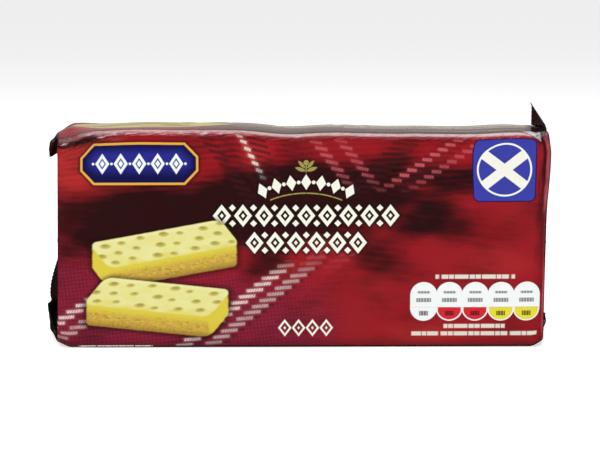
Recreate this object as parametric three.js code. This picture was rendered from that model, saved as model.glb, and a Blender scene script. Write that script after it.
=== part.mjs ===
// A film-wrapped pack of shortbread fingers that stands on its long side, in millimetres.
//
// The wrapper is one tube of film round a stack of biscuits. At each end the front and back of the tube
// close over the end of the stack and meet in a flat sealed fin, which is folded towards the back. The
// spare film above and below the fin makes four ears. The tube is built as rings of points: rounded
// rectangles along the stack, which grow flatter and taller over the ends and end as the thin ring of the
// fin. It is one closed solid.
//
// X runs along the pack, Y from its front (-Y) to its back, and Z up from the surface that it stands on.

import * as THREE from "three";

// The stack that the film is drawn over.
const LENGTH = 164;
const DEPTH = 34;
const HEIGHT = 73;
const TOP_EDGE_RADIUS = 3.4; // of the film round the stack's upper long edges
const BOTTOM_EDGE_RADIUS = 2; // of the same where the pack's weight presses it flat
const FOOT = 2.4; // how far the left end leans out at the bottom
const FOOT_REACH = 62; // length of the pack over which it does so
const SHOULDER = 0.9; // how far the right end stands out near its top
const SHOULDER_REACH = 32;
const SHOULDER_HEIGHTS = [44, 64, 66, 72]; // where it begins, is full, falls and is gone

// The film, doubled and sealed.
const FLAP_THICKNESS = 0.6;
const FLAP_CORNER = 0.25; // radius of a flap's edge
const FIN_WIDTH = 11.5;
const FIN_ROOT_RADIUS = 0.5; // of the fold at the root of the fin
const TIP_START = 0.2; // height above the end at which a fin's upper corner begins to turn on
const TIP_REACH = 1.2; // height over which it turns
const EAR_BULGE = 0.6; // how far the two films of an ear part at the fin's root
const EAR_RIM = 1.2; // width over which they meet at the ear's edges
const NARROWEST_TAPER = 2; // least depth over which an ear's bends narrow behind the fin

// The seal along the back, which lies folded down on the back panel.
const SEAM_BOTTOM = 30;
const SEAM_WIDTH = 10;
const SEAM_THICKNESS = 0.6;
const FIN_SEAM_THICKNESS = 0.15; // where the seam is pressed into a fin
const SEAM_STEP = 0.35; // height over which the seam's edge rises

// The slack of the film: a low crown on each panel, and shallow waves along the upper long edges.
const PANEL_CROWN = 0.7;
const CROWN_POWER = 6; // how near to the panel's face the crown stays
const WAVES = [
  { depth: 0.25, length: 60 },
  { depth: 0.15, length: 33 },
];
const WAVE_START = 0.8; // share of the height at which the waves begin
const SLACK_FADE = 12; // the slack fades over this length towards each end
const SLACK_END = 2.4; // and is gone this far before it

// The top is a little higher over the left half of the stack.
const HUMP_RISE = 1.2;
const HUMP_START = 0.6; // share of the height at which it begins
const HUMP_END = -2; // place along the pack where it ends
const HUMP_SLOPE = 18; // length over which it falls away

// At the left end the film sinks where the top meets the front, and at both ends the toe, which is the
// lower edge, is rounded up.
const CORNER_SINK = 3.4;
const CORNER_REACH = 13; // length over which it sinks
const CORNER_START = [0.8, 0.15]; // shares of the height and of the half depth at which it begins
const TOE_RISE = 1.6;
const TOE_REACH = 5; // length over which it rises
const TOE_HEIGHT = 9; // height over which the rise fades

// The two ends. An ear leaves the end on a crease, and curls on. Each bend has the radius that it has at
// the fin, from which it narrows to nothing at the ear's two corners, and the angle that the ear has after
// it: at 0 the ear stands in the plane of the end, below 0 it leans inwards, at 90 it points straight out,
// and near 180 it is folded right over. The drop is how far below the ear's root line the bends begin. The
// fin's turn is 90 where it lies flat on the end, and less where it springs open between the heights lowAt
// and highAt. Its upper corner rises by tipFlare for each millimetre of its width, and above the end it turns
// on by tipTurn. The bulge is how far the fin's root stands off the end half way up.
const LEFT_END = {
  side: -1,
  edgeRadius: 2.4,
  topEar: { length: 9.8, drop: 1.6, bends: [{ radius: 1.4, to: 125 }, { radius: 8, to: 178 }] },
  bottomEar: { length: 13.5, drop: 0, bends: [{ radius: 1.6, to: 92 }, { radius: 4, to: 178 }] },
  finTurn: { low: 59, high: 86, lowAt: 9, highAt: 39 },
  tipFlare: 0,
  tipTurn: 0,
  bulge: 1.8,
};
const RIGHT_END = {
  side: 1,
  edgeRadius: 3.4,
  topEar: { length: 0.6, drop: 6.8, bends: [{ radius: 15, to: 13 }, { radius: 15, to: 0 }] },
  bottomEar: { length: 8, drop: 0, bends: [{ radius: 1.6, to: 176 }] },
  finTurn: { low: 86, high: 88, lowAt: 17, highAt: 50 },
  tipFlare: 0.67,
  tipTurn: 20,
  bulge: 1.5,
};

// How finely the rings are cut.
const BODY_STEPS = 22;
const EDGE_STEPS = 3;
const CLOSING_STEPS = 7;
const FIN_STEPS = 6;
const CORNER_STEPS = 3;
const PANEL_STEPS = 4; // from the middle of the top or the bottom to its corner
const EAR_STEPS = 11;
const SIDE_STEPS = 3; // from an ear to the back seam
const SEAM_STEPS = 2;
const EAR_ZONE = TOP_EDGE_RADIUS + 1.2; // height next to an ear that is cut as finely as the ear

const HALF_LENGTH = LENGTH / 2;
const HALF_DEPTH = DEPTH / 2;
const HALF_FLAP = FLAP_THICKNESS / 2;
const TINY = 1e-3;
const radians = (degrees) => (degrees * Math.PI) / 180;
const mix = (a, b, t) => a + (b - a) * t;
const clamp = (t) => Math.min(1, Math.max(0, t));
const ease = (t) => clamp(t) ** 2 * (3 - 2 * clamp(t));
const steps = (from, to, count) => Array.from({ length: count }, (_, i) => mix(from, to, (i + 1) / count));

// Heights of the side of a ring, from the top down, between its corner arcs, with the back seam's edges
// among them.
function sideHeights(top, bottom) {
  const seamTop = SEAM_BOTTOM + SEAM_WIDTH;
  return [
    ...steps(top, HEIGHT - EAR_ZONE, EAR_STEPS),
    ...steps(HEIGHT - EAR_ZONE, seamTop + SEAM_STEP, SIDE_STEPS),
    seamTop,
    ...steps(seamTop, SEAM_BOTTOM, SEAM_STEPS),
    SEAM_BOTTOM - SEAM_STEP,
    ...steps(SEAM_BOTTOM - SEAM_STEP, EAR_ZONE, SIDE_STEPS),
    ...steps(EAR_ZONE, bottom, EAR_STEPS),
  ];
}

// One half of a ring, from the middle of its top to the middle of its bottom, as [distance from the middle,
// height].
function halfRing({ halfDepth, top, bottom, topRadius, bottomRadius }) {
  const arc = (r, centre, from, to) =>
    steps(radians(from), radians(to), CORNER_STEPS).map((a) => [
      halfDepth + r * (Math.sin(a) - 1),
      centre + r * Math.cos(a),
    ]);
  const [high, low] = [top - topRadius, bottom + bottomRadius];
  return [
    [0, top],
    ...steps(0, halfDepth - topRadius, PANEL_STEPS).map((y) => [y, top]),
    ...arc(topRadius, high, 0, 90),
    ...sideHeights(high, low).map((z) => [halfDepth, z]),
    ...arc(bottomRadius, low, 90, 180),
    ...steps(halfDepth - bottomRadius, 0, PANEL_STEPS).map((y) => [y, bottom]),
  ];
}

// The rings of one end, from the stack outwards: round its edges, over its face, and along the fin. "out"
// is the distance from the plane of the end, "closed" the share of the closing, "bend" the share that the
// ears' bends have of their size, and "along" the distance from the fin's root.
function endRings(end) {
  const closedEdge = HALF_DEPTH - end.edgeRadius;
  const edge = steps(0, Math.PI / 2, EDGE_STEPS).map((a) => ({
    out: end.edgeRadius * (Math.sin(a) - 1),
    halfDepth: closedEdge + end.edgeRadius * Math.cos(a),
    bend: Math.sin(a),
    closed: 0,
    along: 0,
  }));
  const closing = steps(0, 1, CLOSING_STEPS).map((t) => ({
    out: 0,
    halfDepth: mix(closedEdge, HALF_FLAP, t),
    bend: 1,
    closed: t,
    along: 0,
  }));
  const fin = steps(0, FIN_WIDTH, FIN_STEPS).map((w) => ({
    out: 0,
    halfDepth: HALF_FLAP,
    bend: 1,
    closed: 1,
    along: w,
  }));
  return [...edge, ...closing, ...fin].map((ring) => ({
    ...ring,
    end,
    topRadius: mix(TOP_EDGE_RADIUS, FLAP_CORNER, ring.closed),
    bottomRadius: mix(BOTTOM_EDGE_RADIUS, FLAP_CORNER, ring.closed),
    top: HEIGHT + end.topEar.length * ring.closed + end.tipFlare * ring.along,
    bottom: -end.bottomEar.length * ring.closed,
  }));
}

// Where an ear's film is at a distance past its root line, as [out, up] from that line, and how far it has
// turned. The spread is the share that its bends have of their full radius there.
function earPath(ear, distance, spread) {
  const folded = ear.bends[0].to > 90 ? ear.bends[0].radius : 0;
  const start = (folded + ear.drop) * spread;
  if (distance <= -start) return { out: 0, up: distance, angle: 0 };
  let [out, up, angle, left] = [0, -start, 0, distance + start];
  for (const { radius, to } of ear.bends) {
    const r = Math.max(TINY, radius * spread);
    const turn = Math.sign(radians(to) - angle);
    const swept = Math.min(left / r, Math.abs(radians(to) - angle));
    const next = angle + turn * swept;
    out += turn * r * (Math.cos(angle) - Math.cos(next));
    up += turn * r * (Math.sin(next) - Math.sin(angle));
    left -= r * swept;
    angle = next;
  }
  return { out: out + left * Math.sin(angle), up: up + left * Math.cos(angle), angle };
}

// Where the closing film is at an unfolded height, and the direction that it grows thicker in.
function sheetAt(ring, y, height) {
  const { end } = ring;
  const upper = height > HEIGHT / 2;
  const ear = upper ? end.topEar : end.bottomEar;
  const closedEdge = HALF_DEPTH - end.edgeRadius;
  const widest = y > 0 ? Math.min(FIN_WIDTH, closedEdge - NARROWEST_TAPER) : HALF_FLAP;
  const spread = ring.bend * clamp((closedEdge - Math.abs(y)) / (closedEdge - widest));
  const path = earPath(ear, upper ? height - HEIGHT : -height, spread);
  const sign = upper ? 1 : -1;
  return {
    out: path.out,
    up: upper ? HEIGHT + path.up : -path.up,
    normal: [Math.cos(path.angle), -sign * Math.sin(path.angle)],
  };
}

// The fin at a distance along it from its root: how far it stands off the sheet, how far it reaches towards
// the back, and the angle that it has turned.
function finAt(end, along, height) {
  const { low, high, lowAt, highAt } = end.finTurn;
  const flat = Math.max(ease((lowAt - height) / lowAt), ease((height - highAt) / (HEIGHT - highAt)));
  const lying = mix(low, high, ease((height - lowAt) / (highAt - lowAt)));
  const over = end.tipTurn * ease((height - HEIGHT - TIP_START) / TIP_REACH);
  const full = radians(mix(lying, 90, flat) + over);
  const angle = Math.min(along / FIN_ROOT_RADIUS, full);
  const straight = along - angle * FIN_ROOT_RADIUS;
  return {
    off: FIN_ROOT_RADIUS * Math.sin(angle) + straight * Math.cos(angle),
    back: FIN_ROOT_RADIUS * (1 - Math.cos(angle)) + straight * Math.sin(angle),
    angle,
  };
}

// How far the closing film stands off the end: most at the fin's root, half way up.
function bulgeAt({ end, closed, top, bottom }, height) {
  const middle = Math.sin(Math.PI * clamp(height / HEIGHT)) ** 2;
  const rim = Math.min(top - height, height - bottom);
  return mix(EAR_BULGE * Math.sqrt(closed), end.bulge * closed, middle) * Math.sqrt(clamp(rim / EAR_RIM));
}

// How far the ends lean and spread out, as a shift along X of a place on the stack.
function spreadAt(x, height) {
  const foot = FOOT * (1 - clamp(height / HEIGHT)) * ease((-x - HALF_LENGTH + FOOT_REACH) / FOOT_REACH);
  const [start, full, fall, gone] = SHOULDER_HEIGHTS;
  const raised = ease((height - start) / (full - start)) * ease((gone - height) / (gone - fall));
  return SHOULDER * raised * ease((x - HALF_LENGTH + SHOULDER_REACH) / SHOULDER_REACH) - foot;
}

// How much higher the top is at a place on the stack.
function liftAt(x, height) {
  const raised = ease((height / HEIGHT - HUMP_START) / (1 - HUMP_START));
  return HUMP_RISE * raised * ease((HUMP_END - x) / HUMP_SLOPE);
}

// How far the film is lifted off its place by the left end's sunken corner and the rounded toe of each end.
function cornerAt(x, y, height) {
  const [high, front] = CORNER_START;
  const sunk = ease((height / HEIGHT - high) / (1 - high)) * ease((-y / HALF_DEPTH - front) / (1 - front));
  const toe = (1 - ease(height / TOE_HEIGHT)) * ease((Math.abs(x) - HALF_LENGTH + TOE_REACH) / TOE_REACH);
  return TOE_RISE * toe - CORNER_SINK * sunk * ease((-x - HALF_LENGTH + CORNER_REACH) / CORNER_REACH);
}

// Point of an end's ring: y is the signed distance from the ring's middle plane.
function endPoint(ring, y, height) {
  const { end } = ring;
  const sheet = sheetAt(ring, y, height);
  const fin = finAt(end, ring.along, height);
  const thick = bulgeAt(ring, height) + fin.off - (ring.along ? y * Math.sin(fin.angle) : 0);
  const across = ring.along ? fin.back + y * Math.cos(fin.angle) : y;
  const edge = end.side * (HALF_LENGTH + ring.out);
  return new THREE.Vector3(
    edge + spreadAt(edge, height) + end.side * (sheet.out + thick * sheet.normal[0]),
    across,
    sheet.up + thick * sheet.normal[1] + liftAt(edge, height) + cornerAt(edge, across, height),
  );
}

// Point of a ring on the stack, with the slack of the film: the panels' crowns and the waves of the upper
// long edges. The slack fades at the ends and keeps the bottom flat.
function stackPoint(ring, y, height) {
  const { x } = ring;
  const fade = ease((HALF_LENGTH - SLACK_END - Math.abs(x)) / SLACK_FADE);
  const up = clamp(height / HEIGHT);
  const face = (Math.abs(y) / HALF_DEPTH) ** CROWN_POWER;
  const waves = WAVES.map(({ depth, length }) => depth * Math.sin((2 * Math.PI * x) / length));
  const wave = waves.reduce((sum, each) => sum + each) * ease((up - WAVE_START) / (1 - WAVE_START));
  const crown = PANEL_CROWN * Math.sin(Math.PI * up) + wave / 2;
  return new THREE.Vector3(
    x + spreadAt(x, height),
    y + Math.sign(y) * face * crown * fade,
    height + liftAt(x, height) + wave * fade + cornerAt(x, y, height),
  );
}

// The rings of the whole tube, from the left fin's edge to the right one's.
function tubeRings() {
  const from = -HALF_LENGTH + LEFT_END.edgeRadius;
  const to = HALF_LENGTH - RIGHT_END.edgeRadius;
  const stack = {
    halfDepth: HALF_DEPTH,
    topRadius: TOP_EDGE_RADIUS,
    bottomRadius: BOTTOM_EDGE_RADIUS,
    top: HEIGHT,
    bottom: 0,
  };
  const body = [from, ...steps(from, to, BODY_STEPS)].map((x) => ({ ...stack, x }));
  return [...endRings(LEFT_END).reverse(), ...body, ...endRings(RIGHT_END)];
}

// The whole wrapper as a closed geometry.
function wrapperGeometry() {
  const rings = tubeRings();
  const positions = [];
  for (const ring of rings) {
    const half = halfRing(ring);
    const front = half.map(([y, z]) => [-y, z]);
    const back = half.slice(1, -1).reverse();
    for (const [y, z] of [...front, ...back]) {
      const onSeam = y > 0 && z >= SEAM_BOTTOM && z <= SEAM_BOTTOM + SEAM_WIDTH;
      const relief = onSeam ? mix(SEAM_THICKNESS, FIN_SEAM_THICKNESS, ring.closed ?? 0) : 0;
      const place = ring.end ? endPoint : stackPoint;
      positions.push(...place(ring, y + relief, z).toArray());
    }
  }

  const count = positions.length / 3 / rings.length;
  const indices = [];
  for (let k = 0; k < rings.length - 1; k++) {
    for (let i = 0; i < count; i++) {
      const [a, b] = [k * count + i, k * count + ((i + 1) % count)];
      indices.push(a, b, b + count, a, b + count, a + count);
    }
  }

  // The free edge of each fin is a strip between the two sides of its last ring.
  const last = (rings.length - 1) * count;
  for (let i = 0; i < count / 2; i++) {
    const [a, b, mirrorB, mirrorA] = [i, i + 1, (count - i - 1) % count, (count - i) % count];
    for (const [p, q, r] of [[a, mirrorB, b], [a, mirrorA, mirrorB]]) {
      if (p === q || q === r) continue;
      indices.push(p, q, r);
      indices.push(last + p, last + r, last + q);
    }
  }

  const geometry = new THREE.BufferGeometry();
  geometry.setAttribute("position", new THREE.Float32BufferAttribute(positions, 3));
  geometry.setIndex(indices);
  return geometry;
}

const film = new THREE.MeshStandardMaterial({ color: 0x8c1428, roughness: 0.3, metalness: 0 });
const wrapper = new THREE.Mesh(wrapperGeometry(), film);
wrapper.name = "wrapped_pack";

const pack = new THREE.Group();
pack.add(wrapper);

export default pack;
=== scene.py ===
"""A shut, film-wrapped pack of shortbread fingers that stands on its long side.

The wrapper is a tube of printed film, drawn tight round the stack. Its ends close over the stack into
crimped fins with zigzag edges, and a crimped seal lies along its back. X runs along the pack, Y from its
printed front to its back and Z up. Lengths are in metres, apart from those of the print, which are in
millimetres of the flat film.
"""
import logging
import math
from dataclasses import dataclass, replace
from enum import Enum

import bmesh
import bpy
import numpy as np
from mathutils import Matrix, Vector


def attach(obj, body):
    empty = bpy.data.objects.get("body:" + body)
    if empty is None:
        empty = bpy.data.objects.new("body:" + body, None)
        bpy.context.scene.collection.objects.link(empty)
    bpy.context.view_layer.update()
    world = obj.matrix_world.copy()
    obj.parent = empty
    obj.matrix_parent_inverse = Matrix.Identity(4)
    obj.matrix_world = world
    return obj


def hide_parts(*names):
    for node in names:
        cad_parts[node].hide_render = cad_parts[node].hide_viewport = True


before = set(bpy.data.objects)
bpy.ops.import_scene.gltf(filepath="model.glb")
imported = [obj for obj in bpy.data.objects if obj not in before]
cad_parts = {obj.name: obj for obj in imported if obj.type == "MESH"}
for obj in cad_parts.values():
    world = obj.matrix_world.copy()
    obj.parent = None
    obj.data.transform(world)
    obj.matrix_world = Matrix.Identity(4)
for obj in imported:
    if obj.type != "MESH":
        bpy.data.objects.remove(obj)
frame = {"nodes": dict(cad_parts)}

MM = 0.001
NODE = "wrapped_pack"
SLOT = "printed_film"
TINY = 1e-6
NO_LENGTH = 1e-12
LOG = logging.getLogger("shortbread_pack")

Array = np.ndarray


def ease(t: Array | float) -> Array | float:
    """Return a smooth step from 0 to 1 as t goes from 0 to 1."""
    held = np.clip(t, 0.0, 1.0)
    return held * held * (3.0 - 2.0 * held)


def blend(low: Array | float, high: Array | float, share: Array | float) -> Array | float:
    """Return the mix of two values, from low at a share of 0 to high at 1."""
    return low + (high - low) * share


def steps(low: float, high: float, count: int) -> Array:
    """Return count values that follow low, evenly spaced, the last of which is high."""
    return np.linspace(low, high, count + 1)[1:]


def unit(vectors: Array) -> Array:
    """Return vectors of length 1."""
    return vectors / np.maximum(np.linalg.norm(vectors, axis=-1, keepdims=True), NO_LENGTH)


# The form of the wrapper


@dataclass(frozen=True)
class Bend:
    """A bend of an ear: its radius beside the fin, and the angle in degrees that the ear has after it."""

    radius: float
    to: float


@dataclass(frozen=True)
class Ear:
    """Spare film above or below a fin, which leaves the end on a crease and curls on."""

    length: float
    bends: tuple[Bend, ...]
    drop: float = 0.0

    def path(self, distance: Array, spread: Array) -> tuple[Array, Array, Array]:
        """Follow the ear's film from its root line.

        Args:
            distance: How far past the root line each point lies along the film.
            spread: The share that the bends have of their full radius there.

        Returns:
            How far out of the end and how far up the film is, and the angle that it has turned.
        """
        first = self.bends[0]
        folded = first.radius if first.to > 90 else 0.0
        start = (folded + self.drop) * spread
        left = np.maximum(distance + start, 0.0)
        out, up, angle = 0.0 * distance, np.minimum(distance, -start), 0.0 * distance
        for bend in self.bends:
            radius = np.maximum(TINY, bend.radius * spread)
            rest = math.radians(bend.to) - angle
            swept = np.sign(rest) * np.minimum(left / radius, np.abs(rest))
            after = angle + swept
            side = np.sign(rest)
            out = out + side * radius * (np.cos(angle) - np.cos(after))
            up = up + side * radius * (np.sin(after) - np.sin(angle))
            left = left - radius * np.abs(swept)
            angle = after
        return out + left * np.sin(angle), up + left * np.cos(angle), angle


@dataclass(frozen=True)
class EndFold:
    """How one end of the film is folded. Angles are in degrees, and heights are above the base."""

    side: int
    edge_radius: float
    top_ear: Ear
    bottom_ear: Ear
    low_turn: float
    high_turn: float
    low_at: float
    high_at: float
    tip_flare: float
    tip_turn: float
    bulge: float


@dataclass(frozen=True)
class Ring:
    """One ring of the tube of film: its section, its place along the film and how far it is folded."""

    half_depth: float
    top: float
    bottom: float
    top_radius: float
    bottom_radius: float
    film_x: float
    end: EndFold | None = None
    out: float = 0.0
    bend: float = 0.0
    closed: float = 0.0
    along: float = 0.0


@dataclass(frozen=True)
class Wrap:
    """The film drawn over the stack, and the rules that give a point of the flat film its place in space."""

    length: float = 164 * MM
    depth: float = 34 * MM
    height: float = 73 * MM
    top_edge_radius: float = 3.4 * MM
    bottom_edge_radius: float = 2 * MM
    foot: float = 2.4 * MM
    foot_reach: float = 62 * MM
    shoulder: float = 0.9 * MM
    shoulder_reach: float = 32 * MM
    shoulder_heights: tuple[float, ...] = (44 * MM, 64 * MM, 66 * MM, 72 * MM)
    panel_crown: float = 0.68 * MM
    crown_power: float = 6
    waves: tuple[tuple[float, float], ...] = ((0.25 * MM, 60 * MM), (0.15 * MM, 33 * MM))
    wave_start: float = 0.8
    slack_fade: float = 12 * MM
    slack_end: float = 2.4 * MM
    hump_rise: float = 1.2 * MM
    hump_start: float = 0.6
    hump_end: float = -2 * MM
    hump_slope: float = 18 * MM
    corner_sink: float = 3.4 * MM
    corner_reach: float = 13 * MM
    corner_start: tuple[float, float] = (0.8, 0.15)
    toe_rise: float = 1.6 * MM
    toe_reach: float = 5 * MM
    toe_height: float = 9 * MM
    half_flap: float = 0.16 * MM
    flap_corner: float = 0.1 * MM
    fin_width: float = 11.5 * MM
    fin_root_radius: float = 0.5 * MM
    tip_start: float = -0.15 * MM
    tip_reach: float = 0.6 * MM
    ear_bulge: float = 0.6 * MM
    ear_rim: float = 1.2 * MM
    narrowest_taper: float = 2 * MM
    left: EndFold = EndFold(
        side=-1,
        edge_radius=2.4 * MM,
        top_ear=Ear(9.8 * MM, (Bend(1.4 * MM, 125), Bend(8 * MM, 178)), drop=1.6 * MM),
        bottom_ear=Ear(13.5 * MM, (Bend(1.6 * MM, 92), Bend(4 * MM, 178))),
        low_turn=59.7,
        high_turn=86,
        low_at=13 * MM,
        high_at=34 * MM,
        tip_flare=0,
        tip_turn=0,
        bulge=1.8 * MM,
    )
    right: EndFold = EndFold(
        side=1,
        edge_radius=3.4 * MM,
        top_ear=Ear(0.6 * MM, (Bend(15 * MM, 13), Bend(15 * MM, 0)), drop=6.8 * MM),
        bottom_ear=Ear(8 * MM, (Bend(1.44 * MM, 176),)),
        low_turn=86,
        high_turn=88,
        low_at=17 * MM,
        high_at=50 * MM,
        tip_flare=0.67,
        tip_turn=20,
        bulge=1.5 * MM,
    )

    @property
    def half_length(self) -> float:
        """Return half of the stack's length."""
        return self.length / 2

    @property
    def half_depth(self) -> float:
        """Return half of the stack's depth."""
        return self.depth / 2

    @property
    def body_span(self) -> tuple[float, float]:
        """Return where the body ends, at which the rounded edges of the ends start."""
        return self.left.edge_radius - self.half_length, self.half_length - self.right.edge_radius

    def spread(self, x: Array, height: Array) -> Array:
        """Return how far a place on the stack is shifted along X by the lean and the spread of the ends."""
        reach = ease((self.foot_reach - self.half_length - x) / self.foot_reach)
        foot = self.foot * (1 - np.clip(height / self.height, 0, 1)) * reach
        start, full, fall, gone = self.shoulder_heights
        raised = ease((height - start) / (full - start)) * ease((gone - height) / (gone - fall))
        reach = ease((x - self.half_length + self.shoulder_reach) / self.shoulder_reach)
        return self.shoulder * raised * reach - foot

    def lift(self, x: Array, height: Array) -> Array:
        """Return how much higher the top is at a place on the stack."""
        raised = ease((height / self.height - self.hump_start) / (1 - self.hump_start))
        return self.hump_rise * raised * ease((self.hump_end - x) / self.hump_slope)

    def corner(self, x: Array, y: Array, height: Array) -> Array:
        """Return how far the film is lifted by the left end's sunken corner and each end's rounded toe."""
        high, front = self.corner_start
        sunk = ease((height / self.height - high) / (1 - high))
        sunk = sunk * ease((-y / self.half_depth - front) / (1 - front))
        sunk = sunk * ease((-x - self.half_length) / self.corner_reach + 1)
        toe = 1 - ease(height / self.toe_height)
        toe = toe * ease((np.abs(x) - self.half_length) / self.toe_reach + 1)
        return self.toe_rise * toe - self.corner_sink * sunk

    def stack_ring(self, x: float) -> Ring:
        """Return the ring round the stack at a place along it."""
        return Ring(
            half_depth=self.half_depth,
            top=self.height,
            bottom=0.0,
            top_radius=self.top_edge_radius,
            bottom_radius=self.bottom_edge_radius,
            film_x=x,
        )

    def edge_ring(self, end: EndFold, turned: float) -> Ring:
        """Return a ring on the rounded edge of an end, by the angle in radians that the film has turned."""
        return replace(
            self.stack_ring(end.side * (self.half_length + end.edge_radius * (turned - 1))),
            half_depth=self.half_depth - end.edge_radius * (1 - math.cos(turned)),
            end=end,
            out=end.edge_radius * (math.sin(turned) - 1),
            bend=math.sin(turned),
        )

    def closing_ring(self, end: EndFold, closed: float, along: float = 0.0) -> Ring:
        """Return a ring on the face of an end, by the share to which it is closed, or a ring of the fin."""
        closed_edge = self.half_depth - end.edge_radius
        face = end.edge_radius * (math.pi / 2 - 1) + closed * closed_edge + along
        return Ring(
            half_depth=blend(closed_edge, self.half_flap, closed),
            top=self.height + end.top_ear.length * closed + end.tip_flare * along,
            bottom=-end.bottom_ear.length * closed,
            top_radius=blend(self.top_edge_radius, self.flap_corner, closed),
            bottom_radius=blend(self.bottom_edge_radius, self.flap_corner, closed),
            film_x=end.side * (self.half_length + face),
            end=end,
            bend=1.0,
            closed=closed,
            along=along,
        )

    def rings(self, body: int, edge: int, closing: int, closed: float = 1.0) -> list[Ring]:
        """Return rings along the tube.

        Args:
            body: How many rings lie round the stack.
            edge: How many lie on the rounded edge of each end.
            closing: How many lie on the face of each end.
            closed: The share to which the last ring of each end is closed.

        Returns:
            The rings, from the left end to the right one.
        """
        round_stack = [self.stack_ring(x) for x in np.linspace(*self.body_span, body)]
        ends = []
        for end in (self.left, self.right):
            turned = [self.edge_ring(end, angle) for angle in steps(0, math.pi / 2, edge)]
            ends.append(turned + [self.closing_ring(end, share) for share in steps(0, closed, closing)])
        return [*reversed(ends[0]), *round_stack, *ends[1]]

    def place(self, ring: Ring, y: Array, height: Array) -> Array:
        """Find where points of a ring lie.

        Args:
            ring: The ring of the tube.
            y: Signed distance of each point from the ring's middle plane.
            height: Unfolded height of each point.

        Returns:
            One row of coordinates for each point.
        """
        return self._on_end(ring, y, height) if ring.end else self._on_stack(ring, y, height)

    def _on_stack(self, ring: Ring, y: Array, height: Array) -> Array:
        """Return the places of points round the stack, with the slack of the film."""
        at = ring.film_x
        fade = ease((self.half_length - self.slack_end - abs(at)) / self.slack_fade)
        up = np.clip(height / self.height, 0, 1)
        face = (np.abs(y) / self.half_depth) ** self.crown_power
        wave = sum(depth * math.sin(2 * math.pi * at / length) for depth, length in self.waves)
        wave = wave * ease((up - self.wave_start) / (1 - self.wave_start))
        crown = self.panel_crown * np.sin(math.pi * up) + wave / 2
        x = at + self.spread(at, height)
        z = height + self.lift(at, height) + wave * fade + self.corner(at, y, height)
        return np.stack([x, y + np.sign(y) * face * crown * fade, z], axis=-1)

    def _on_end(self, ring: Ring, y: Array, height: Array) -> Array:
        """Return the places of points on an end's edge, face or fin."""
        end = ring.end
        upper = height > self.height / 2
        closed_edge = self.half_depth - end.edge_radius
        widest = np.where(y > 0, min(self.fin_width, closed_edge - self.narrowest_taper), self.half_flap)
        spread = ring.bend * np.clip((closed_edge - np.abs(y)) / (closed_edge - widest), 0, 1)
        top = end.top_ear.path(height - self.height, spread)
        bottom = end.bottom_ear.path(-height, spread)
        out, rise, angle = (np.where(upper, a, b) for a, b in zip(top, bottom))
        sign = np.where(upper, 1.0, -1.0)
        up = np.where(upper, self.height + rise, -rise)

        off, back, turned = self._fin(end, ring.along, height)
        lying = y * np.sin(turned) if ring.along else 0.0
        across = back + y * np.cos(turned) if ring.along else y
        thick = self._bulge(ring, height) + off - lying
        edge = end.side * (self.half_length + ring.out)
        x = edge + self.spread(edge, height) + end.side * (out + thick * np.cos(angle))
        z = up - sign * thick * np.sin(angle) + self.lift(edge, height) + self.corner(edge, across, height)
        return np.stack([x, across, z], axis=-1)

    def _fin(self, end: EndFold, along: float, height: Array) -> tuple[Array, Array, Array]:
        """Return how far a fin stands off the end, how far back it reaches, and how far it has turned."""
        low, high = end.low_at, end.high_at
        flat = np.maximum(ease((low - height) / low), ease((height - high) / (self.height - high)))
        lying = blend(end.low_turn, end.high_turn, ease((height - low) / (high - low)))
        over = end.tip_turn * ease((height - self.height - self.tip_start) / self.tip_reach)
        full = np.radians(blend(lying, 90, flat) + over)
        radius = self.fin_root_radius
        angle = np.minimum(along / radius, full)
        straight = along - angle * radius
        off = radius * np.sin(angle) + straight * np.cos(angle)
        back = radius * (1 - np.cos(angle)) + straight * np.sin(angle)
        return off, back, angle

    def _bulge(self, ring: Ring, height: Array) -> Array:
        """Return how far the closing film stands off the end: most at the fin's root, half way up."""
        middle = np.sin(math.pi * np.clip(height / self.height, 0, 1)) ** 2
        rim = np.clip(np.minimum(ring.top - height, height - ring.bottom) / self.ear_rim, 0, 1)
        on_ear = self.ear_bulge * math.sqrt(ring.closed)
        return blend(on_ear, ring.end.bulge * ring.closed, middle) * np.sqrt(rim)


# The looks of the film

Colour = bpy.types.NodeSocket


def linear(red: int, green: int, blue: int) -> tuple[float, float, float, float]:
    """Return a screen colour of 0 to 255 a channel as a linear colour."""
    parts = [c / 255 for c in (red, green, blue)]
    return (*[c / 12.92 if c <= 0.04045 else ((c + 0.055) / 1.055) ** 2.4 for c in parts], 1.0)


class Ink(Enum):
    """The inks of the print."""

    RED = linear(152, 22, 31)
    BRIGHT_RED = linear(182, 42, 42)
    PINK = linear(206, 92, 102)
    DARK = linear(34, 15, 16)
    SHADE = linear(62, 22, 26)
    PLUM = linear(140, 28, 56)
    EDGE_BLACK = linear(23, 12, 13)
    CREAM = linear(238, 238, 224)
    WHITE = linear(236, 240, 240)
    BLUE = linear(40, 40, 140)
    DEEP_BLUE = linear(18, 18, 72)
    GOLD = linear(226, 168, 62)
    OLIVE = linear(158, 148, 78)
    GREY = linear(96, 98, 100)
    LABEL_RED = linear(208, 34, 44)
    LABEL_YELLOW = linear(222, 214, 52)
    BISCUIT = linear(222, 217, 134)
    BISCUIT_EDGE = linear(214, 196, 62)
    CRUMB = linear(196, 158, 66)
    CRUMB_DARK = linear(128, 92, 32)
    DIMPLE = linear(176, 160, 52)
    BISCUIT_PALE = linear(228, 226, 170)
    BADGE_BLUE = linear(58, 62, 162)
    SASH = linear(236, 220, 138)
    TAUPE = linear(132, 98, 84)
    PINK_WHITE = linear(236, 206, 204)


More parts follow.
